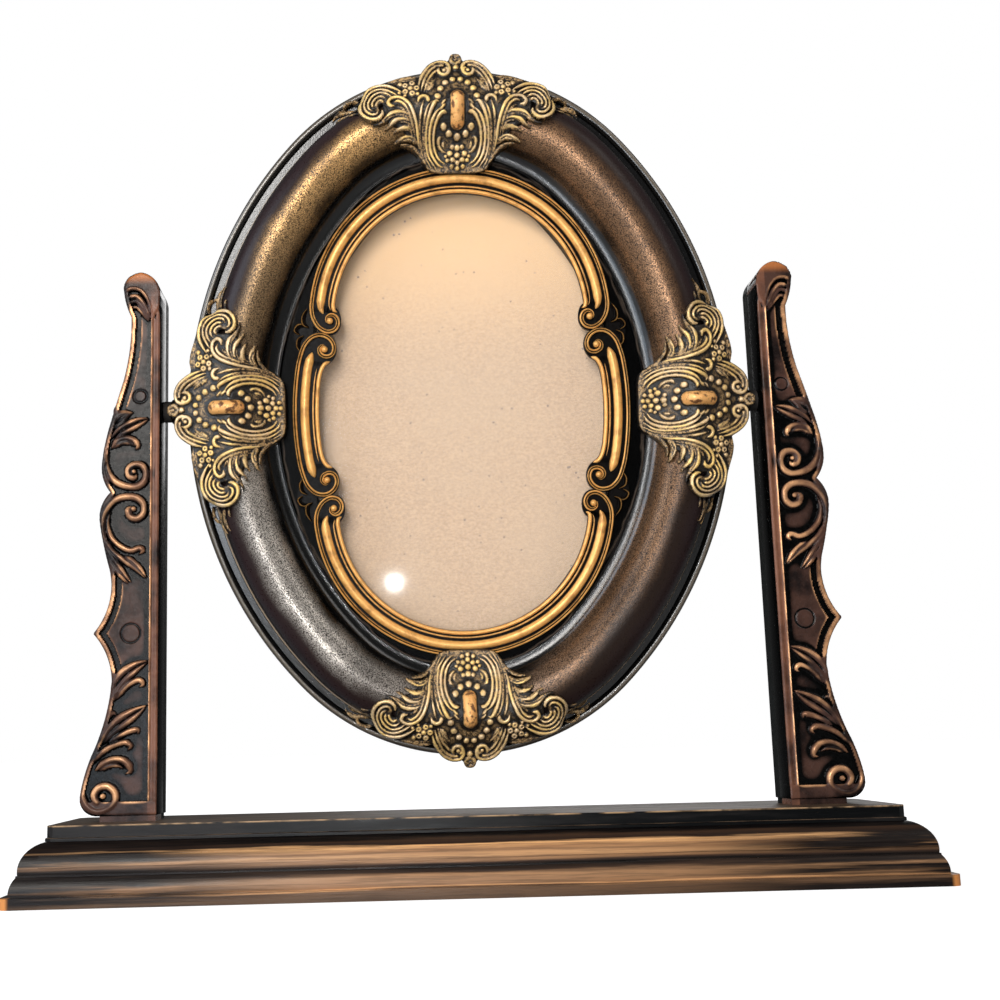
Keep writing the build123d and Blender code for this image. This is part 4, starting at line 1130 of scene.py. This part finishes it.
def post_carving():
    c = Carving(left=-0.35, right=30.1, low=29.05, high=244.0, cell=0.35, swell=1.65)
    outline = post_outline()
    w, d, _ = c.nearest(np.vstack([outline, outline[:1]]), 6.0)
    depth = np.full(c.X.shape, 99.0)
    depth[w] = d
    inside = c.inside(outline)
    c.h = np.where(inside, PANEL_LEVEL, EMPTY)
    # The dark channel beside the curved side's rim, the rim, the border and the foot block
    curved = inside & (c.X > CURVED_FROM)
    for low, high in CHANNEL_RUNS:
        c.h[curved & (c.Y > low) & (c.Y < high) & (depth < CHANNEL_REACH)] = CHANNEL_LEVEL
    c.h[curved & (depth < RIM_WIDTH)] = 0.0
    c.h[inside & (c.X < BORDER_WIDTH)] = 0.1
    c.h[inside & (c.X > BORDER_GROOVE[0]) & (c.X < BORDER_GROOVE[1])] = -0.3
    c.h[inside & (c.Y < FOOT_TOP)] = 0.0
    c.ground(on_post(POST_HEAD), 0.5, 1.2)
    c.ridges(POST_RIDGES, on_post)
    c.beads(POST_BEADS, on_post)
    for x, z, radius in POST_MARKS:
        turns = np.arange(13) * math.pi / 6
        ring = [(x + radius * math.cos(a), z + radius * math.sin(a)) for a in turns]
        c.groove(on_post(ring), 0.45, 0.4, (0, 0))
    # Arrises rounded over
    c.h = np.where(inside, c.h - 0.5 * np.clip(1 - depth / 0.8, 0, 1) ** 2, EMPTY)
    return c.solid(outline)


def posts(front_material, back_material):
    """Both posts: the carved shell on its foot block, before the plain rear half."""
    flat, lift, faces, values = post_carving()
    depth = POST_FRONT + POST_SHELL
    front = np.column_stack([flat, POST_FRONT - lift])
    back = np.column_stack([flat, np.full(len(flat), depth)])
    points = np.vstack([front, back])
    box = [(0, 1, 3, 2), (4, 6, 7, 5), (0, 4, 5, 1), (2, 3, 7, 6), (0, 2, 6, 4), (1, 5, 7, 3)]
    every = faces.tolist() + [[len(points) + i for i in face] for face in box]
    for name, side in (("left", -1), ("right", 1)):
        placed = np.column_stack([side * (INNER_FACE + points[:, 0]), points[:, 2], points[:, 1]])
        foot = [
            (side * (INNER_FACE + d), y, z) for d in FOOT_BLOCK
            for y in (POST_FRONT + 0.6, depth) for z in (BASE_TOP, POST_LOW + 0.5)
        ]
        piece = as_piece(
            f"carved_post_{name}", np.vstack([placed, foot]) * MM,
            [face[::side] for face in every], "stand", front_material,
            {key: np.append(v, np.zeros(len(foot))) for key, v in values.items()}, 60,
        )
        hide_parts(f"post_{name}")
        dress(f"post_{name}_back", back_material)


def dress(node, material):
    """Gives a CAD node its finish, in every slot it has."""
    mesh = frame["nodes"][node].data
    mesh.materials.clear()
    mesh.materials.append(material)


# Finishes; places along X, Y and Z are in metres

FINISH_REACH = 48.0
PLINTH_RISE = 0.0222
FLANGE_TOP = 0.0038
FLANGE_FRONT = -0.039
CORNER_FROM, CORNER_TO = 0.1653, 0.1672
HEAD_FROM, HEAD_TO = 0.2375, 0.2415


def bronze_moulding():
    """Black lacquer, purple brown on the outer flank, painted highlight lines on the rim and arrises,
    bronze speckle over the torus with painted highlights.
    """
    p = Paint("bronze_moulding")
    up, right = p.axis("Z"), p.axis("X")
    across = p.calc("DIVIDE", p.value("across"), FINISH_REACH)
    wave = p.times(p.span(p.noise(30), 0.3, 0.7, -0.03, 0.03), p.span(across, 0.16, 0.24))
    place = p.plus(across, wave)
    # The pale stops at 0.032, 0.140 and 0.752 are painted highlight lines on the rim bead's crest, the
    # arris and the lip of the bed
    body = p.ramp(
        place,
        (0.0, tone(8, 8, 8)), (0.032, tone(112, 102, 90)), (0.048, tone(8, 8, 8)), (0.12, tone(3, 3, 4)),
        (0.140, tone(168, 148, 126)), (0.152, tone(18, 13, 15)), (0.22, tone(42, 31, 32)),
        (0.34, tone(38, 27, 22)), (0.48, tone(22, 15, 12)), (0.56, tone(5, 4, 4)),
        (0.66, tone(3, 3, 3)), (0.74, tone(4, 4, 4)), (0.752, tone(70, 60, 52)), (0.765, tone(4, 4, 4)),
    )
    # Bronze powder, coloured as a painted highlight: gold at the upper left, copper on the right and a
    # grey painted sheen at the lower left
    powder_and_highlight_spread = p.calc("MAXIMUM", p.span(up, 0.09, 0.25, 0.45, 0.9), p.span(right, -0.02, -0.06, 0, 0.9))
    patches = p.times(p.span(p.noise(34), 0.28, 0.60, 0.55, 1.0), powder_and_highlight_spread)
    # On the right the powder and its painted highlight lie further in, most of all low down, on the inner
    # flank
    highlight_shift = p.times(p.span(right, 0.0, 0.05, 0, 0.10), p.span(up, 0.25, 0.17, 0.4, 1))
    band = p.calc("SUBTRACT", p.calc("SUBTRACT", place, 0.02), highlight_shift)
    crest = p.times(p.span(band, 0.24, 0.40), p.span(band, 0.60, 0.47))
    speckle = p.span(p.noise(0.44, 2, 0.75), 0.38, 0.60)
    speckle_and_highlight = p.times(p.times(crest, speckle), patches)
    grey = p.blend(p.span(up, 0.14, 0.22), tone(232, 222, 210), tone(172, 140, 102))
    powder_and_highlight = p.blend(p.span(right, -0.05, 0.05), grey, tone(182, 138, 102))
    # Painted gold highlight at the upper left
    painted_gold_highlight = p.calc("MINIMUM", p.span(up, 0.225, 0.285), p.span(right, 0.0, -0.04))
    powder_and_highlight = p.blend(painted_gold_highlight, powder_and_highlight, tone(250, 196, 128))
    rough = p.span(p.noise(1.2), 0.3, 0.7, 0.26, 0.36)
    bed = p.span(across, 0.735, 0.75)
    scoop = p.times(p.span(across, 0.58, 0.66), p.without(bed))
    gloss = p.calc("MAXIMUM", p.span(across, 0.15, 0.13), scoop)
    p.set(Base_Color=p.blend(speckle_and_highlight, body, powder_and_highlight), Metallic=p.times(speckle_and_highlight, 0.9),
          Specular_IOR_Level=p.plus(p.span(bed, 0, 1, 0.18, 0.03), p.times(gloss, 0.55)),
          Roughness=p.times(rough, p.without(p.times(gloss, 0.45))))
    p.bump(p.noise(0.5), 0.08, 0.7)
    return p.material


def antique_gold():
    """Old gold over grey brown: gold on the crests, partly rubbed gilt and partly painted highlight, and
    black painted shade in the recesses between the strokes.
    """
    p = Paint("antique_gold")
    relief = p.plus(p.value("crest"), p.times(p.value("shade"), 0.5))
    # Painted shade: the recesses between the strokes go black
    lifted = p.span(relief, -0.46, -0.02)
    # Gold on the crests: partly rubbed gilt, partly painted highlight
    crest = p.times(p.span(relief, 0.26, 0.70), p.span(p.noise(7), 0.32, 0.52, 0.5, 1.0))
    chased = p.span(p.noise(1.3, 3, 0.6, 1.2), 0.40, 0.60)
    body = p.blend(chased, tone(46, 36, 28), tone(184, 148, 100))
    gold = p.blend(p.span(p.noise(9), 0.38, 0.62), tone(250, 216, 168), tone(255, 214, 132))
    deep = p.blend(p.noise(1.5, 2), tone(6, 5, 4), tone(28, 22, 17))
    colour = p.blend(crest, p.blend(lifted, deep, body), gold)
    boss = p.blend(p.span(p.noise(2.4), 0.36, 0.5), tone(112, 72, 42), tone(244, 180, 108))
    colour = p.blend(p.span(p.value("boss"), 0.3, 0.7), colour, boss)
    p.set(Base_Color=colour, Metallic=p.times(crest, 0.3), Specular_IOR_Level=0.5,
          Roughness=p.span(p.noise(0.8, 2), 0.3, 0.7, 0.26, 0.44))
    p.bump(chased, 0.14, 0.6)
    return p.material


def liner_gilt():
    """Gilt beads over black grooves."""
    p = Paint("liner_gilt")
    bright = p.blend(p.noise(1.6), tone(230, 150, 72), tone(248, 200, 120))
    rubbed = p.blend(p.noise(0.9), tone(150, 102, 52), tone(214, 154, 82))
    lit = p.blend(p.span(p.noise(6, 4), 0.28, 0.52), rubbed, bright)
    deep = p.blend(p.noise(1.3), tone(3, 2, 2), tone(14, 10, 8))
    top = p.span(p.plus(p.value("gold"), p.times(p.noise(1.1), 0.24)), 0.42, 0.85)
    p.set(Base_Color=p.blend(top, deep, lit), Metallic=p.times(top, 0.3),
          Roughness=p.span(p.noise(1.0, 2), 0.3, 0.7, 0.28, 0.46),
          Specular_IOR_Level=p.span(top, 0.0, 1.0, 0.08, 0.45))
    p.bump(p.noise(0.6, 2), 0.04, 0.5)
    return p.material


def post_copper():
    """Red brown ground, copper on the ridges, partly worn and partly painted highlight, black painted
    shade in the recesses, orange at the head.
    """
    p = Paint("post_copper")
    crest = p.value("crest")
    # Copper on the ridges: partly worn, partly painted highlight
    top = p.span(crest, 0.16, 0.62)
    # Painted shade: black in the recesses beside the ridges
    deep = p.span(p.plus(crest, p.times(p.value("shade"), 1.2)), -0.04, -0.42)
    base = p.blend(p.span(p.noise(14, 4), 0.35, 0.65), tone(26, 20, 19), tone(76, 53, 45))
    # A redder strip runs along the border
    reach = p.calc("ABSOLUTE", p.axis("X"))
    strip = p.span(reach, (INNER_FACE + 3.9) * MM, (INNER_FACE + 3.4) * MM, 0, 0.8)
    base = p.blend(p.times(strip, p.span(p.noise(16), 0.3, 0.6)), base, tone(132, 88, 68))
    lit = p.blend(p.span(p.noise(11), 0.38, 0.66), tone(124, 88, 66), tone(228, 170, 122))
    head = p.span(p.axis("Z"), HEAD_FROM, HEAD_TO)
    lit = p.blend(head, lit, tone(226, 142, 78))
    colour = p.blend(p.times(head, 0.7), p.blend(top, base, lit), tone(196, 118, 64))
    p.set(Base_Color=p.blend(deep, colour, tone(2, 2, 2)), Metallic=p.times(top, 0.3),
          Specular_IOR_Level=0.14, Roughness=p.span(p.noise(1.6), 0.3, 0.7, 0.18, 0.32))
    p.bump(p.noise(0.9), 0.06, 0.5)
    return p.material


def post_charcoal():
    p = Paint("post_charcoal")
    p.set(Base_Color=p.blend(p.noise(6, 4), tone(12, 13, 13), tone(34, 35, 33)),
          Roughness=p.span(p.noise(1.4), 0.3, 0.7, 0.50, 0.70), Specular_IOR_Level=0.08)
    p.bump(p.noise(1.0), 0.08, 0.5)
    return p.material


def plinth_copper():
    """Near-black brown in long streaks, copper worn along the swells with painted highlight lines on
    them, black in the coves, partly painted shade, and a painted highlight across the middle.
    """
    p = Paint("plinth_copper")
    up = p.axis("Z")
    streak = p.noise(6, 5, at=p.stretched(0.06, 0.06, 2.2))
    fine = p.noise(1.1, 4, 0.65, at=p.stretched(0.04, 0.04, 1.5))
    # Bands by height: the pale stops at 0.185, 0.68 and 0.805 are painted highlight lines on the swells,
    # and the black cove stops are partly painted shade
    body = p.ramp(
        p.calc("DIVIDE", p.plus(up, p.span(streak, 0.3, 0.7, -0.0008, 0.0008)), PLINTH_RISE),
        (0.00, tone(88, 66, 48)), (0.15, tone(104, 76, 54)), (0.185, tone(214, 158, 108)),
        (0.21, tone(150, 110, 76)), (0.36, tone(164, 122, 86)), (0.43, tone(60, 44, 34)),
        (0.49, tone(5, 5, 5)), (0.53, tone(60, 42, 32)), (0.60, tone(158, 116, 80)),
        (0.68, tone(192, 144, 99)), (0.76, tone(150, 108, 74)), (0.805, tone(222, 168, 114)),
        (0.84, tone(38, 27, 22)), (0.90, tone(60, 42, 30)), (0.94, tone(8, 7, 8)), (1.00, tone(6, 6, 7)),
    )
    # A painted highlight across the middle: it keeps few dark streaks
    off_middle = p.times(p.axis("X"), p.axis("X"))
    dark = p.times(p.span(streak, 0.34, 0.56), p.span(off_middle, 0.002, 0.015, 0.1, 1.0))
    colour = p.blend(dark, body, tone(20, 14, 12))
    colour = p.blend(p.span(fine, 0.46, 0.62, 0, 0.35), colour, tone(34, 24, 18))
    # The flange's front corners are rubbed bare
    end = p.span(off_middle, CORNER_FROM ** 2, CORNER_TO ** 2)
    front = p.span(p.axis("Y"), FLANGE_FRONT + 0.003, FLANGE_FRONT)
    corner = p.times(end, p.times(front, p.span(up, FLANGE_TOP + 0.0003, FLANGE_TOP)))
    p.set(Base_Color=p.blend(corner, colour, tone(206, 136, 76)), Specular_IOR_Level=0.2,
          Roughness=p.span(fine, 0.3, 0.7, 0.26, 0.44))
    p.bump(fine, 0.12, 0.6)
    return p.material


def plinth_black():
    """Black plate, scuffed brown on top, partly painted light from above, with a pale line round its
    upper edge.
    """
    p = Paint("plinth_black")
    grain = p.noise(5, 4, at=p.stretched(0.1, 1, 1))
    colour = p.blend(p.span(grain, 0.42, 0.66), tone(5, 6, 7), tone(34, 31, 30))
    # Brown on the upward faces: scuffs, partly painted light from above
    top = p.span(p.upward(), 0.5, 0.9)
    scuff_and_top_light = p.span(p.noise(3.5, 5, 0.65, at=p.stretched(0.25, 1, 1)), 0.30, 0.72)
    colour = p.blend(p.times(top, scuff_and_top_light), colour, tone(112, 90, 70))
    edge = p.span(p.axis("Z"), (BASE_TOP - 0.7) * MM, (BASE_TOP - 0.2) * MM)
    line = p.times(p.times(edge, p.span(p.noise(9), 0.36, 0.6)), p.without(top))
    p.set(Base_Color=p.blend(line, colour, tone(168, 136, 102)), Specular_IOR_Level=0.15,
          Roughness=p.span(grain, 0.3, 0.7, 0.26, 0.42))
    p.bump(grain, 0.1, 0.5)
    return p.material


def tan_board():
    """Bare tan board with a fine grain and a few dark flecks, and a warm painted light at its head."""
    p = Paint("tan_board")
    fleck = p.times(p.span(p.cells(3.4), 0.20, 0.10), p.span(p.noise(4.5, 2), 0.56, 0.62))
    fibre = p.noise(0.8, at=p.stretched(0.6, 1, 1))
    colour = p.blend(p.span(fibre, 0.3, 0.7), tone(192, 150, 99), tone(217, 175, 123))
    colour = p.blend(p.span(p.noise(55, 2), 0.35, 0.65, 0, 0.4), colour, tone(208, 172, 126))
    # Painted light: warmer and brighter towards the head
    colour = p.blend(p.span(p.axis("Z"), 0.200, 0.268), colour, tone(244, 194, 122))
    p.set(Base_Color=p.blend(p.times(fleck, 0.8), colour, tone(122, 90, 60)), Roughness=0.8)
    p.bump(fibre, 0.04, 0.3)
    return p.material


def clear_glass():
    """Thin clear glass: light passes straight through, with a faint coat of reflection."""
    p = Paint("clear_glass")
    smear = p.node("TexNoise", Scale=60).outputs["Fac"]
    rough = p.node("MapRange", Value=smear, To_Min=0.03, To_Max=0.10).outputs["Result"]
    p.set(Base_Color=(1, 1, 1, 1), Alpha=0.12, Specular_IOR_Level=0.25, Roughness=rough)
    return p.material


def metal(name, dark, light, roughness):
    p = Paint(name)
    p.set(Base_Color=p.blend(p.noise(1.5), dark, light), Metallic=0.85,
          Roughness=p.span(p.noise(0.8, 2), 0.3, 0.7, roughness, roughness + 0.15))
    return p.material


def plain_stock(name, dark, light, size, roughness):
    p = Paint(name)
    p.set(Base_Color=p.blend(p.noise(size, 4), dark, light), Roughness=roughness)
    p.bump(p.noise(size * 0.4), 0.08, 0.4)
    return p.material


def camera_share(tree, *kinds):
    """1 for camera rays and the other kinds of ray named, 0 for the rest."""
    path = tree.nodes.new("ShaderNodeLightPath")
    share = path.outputs["Is Camera Ray"]
    for kind in kinds:
        larger = tree.nodes.new("ShaderNodeMath")
        larger.operation = "MAXIMUM"
        tree.links.new(share, larger.inputs[0])
        tree.links.new(path.outputs[kind], larger.inputs[1])
        share = larger.outputs[0]
    return share


def make_floor():
    """Pale floor that reads white to the camera but keeps the shadow."""
    mesh = bpy.data.meshes.new("floor")
    r = FLOOR_HALF
    mesh.from_pydata([(-r, -r, 0), (r, -r, 0), (r, r, 0), (-r, r, 0)], [], [(0, 1, 2, 3)])
    floor = bpy.data.objects.new("floor", mesh)
    bpy.context.scene.collection.objects.link(floor)
    p = Paint("floor_pale")
    reach = p.node("VectorMath")
    reach.operation = "LENGTH"
    p.put(reach.inputs[0], p.place)
    lift = p.span(reach.outputs["Value"], 0.28, 0.70, FLOOR_LIFT, 1.0)
    p.set(Base_Color=(0.45, 0.45, 0.45, 1), Roughness=0.9, Emission_Color=(1, 1, 1, 1),
          Emission_Strength=p.times(camera_share(p.tree), lift))
    mesh.materials.append(p.material)


def make_surround():
    """White to the camera and through glass, and a faint even light on the object."""
    world = bpy.data.worlds.new("studio")
    world.use_nodes = True
    bpy.context.scene.world = world
    tree = world.node_tree
    back = tree.nodes["Background"]
    strength = tree.nodes.new("ShaderNodeMapRange")
    strength.inputs["To Min"].default_value = AMBIENT
    strength.inputs["To Max"].default_value = 1.0
    tree.links.new(camera_share(tree, "Is Transmission Ray"), strength.inputs["Value"])
    tree.links.new(strength.outputs["Result"], back.inputs["Strength"])
    back.inputs["Color"].default_value = (1, 1, 1, 1)


def make_small_parts():
    """Finish of the screws, turn buttons and washers."""
    bright = metal("zinc_steel", tone(120, 120, 122), tone(176, 176, 178), 0.3)
    black = metal("black_steel", tone(22, 20, 20), tone(48, 44, 42), 0.35)
    for node in frame["nodes"]:
        if node.startswith("turn_button") or node in ("post_screws", "base_cover_screws"):
            dress(node, bright)
        if node.startswith("pivot_screw"):
            dress(node, black)
        if node.startswith("friction_washer"):
            dress(node, plain_stock(f"fibre_{node}", tone(20, 17, 15), tone(38, 32, 28), 2, 0.8))


def main():
    bpy.context.scene.view_settings.view_transform = "Standard"
    make_camera()
    make_floor()
    make_surround()
    for name, lamp in LAMPS.items():
        soft_lamp(name, *lamp)
    frame_ring(bronze_moulding())
    ornaments(antique_gold())
    scroll_liner(liner_gilt())
    posts(post_copper(), post_charcoal())
    dress("base_moulding", plinth_copper())
    dress("base_top_plate", plinth_black())
    dress("backing_board", tan_board())
    dress("glass_pane", clear_glass())
    dress("base_cover", plain_stock("card", tone(150, 120, 84), tone(184, 154, 114), 4, 0.85))
    make_small_parts()


main()
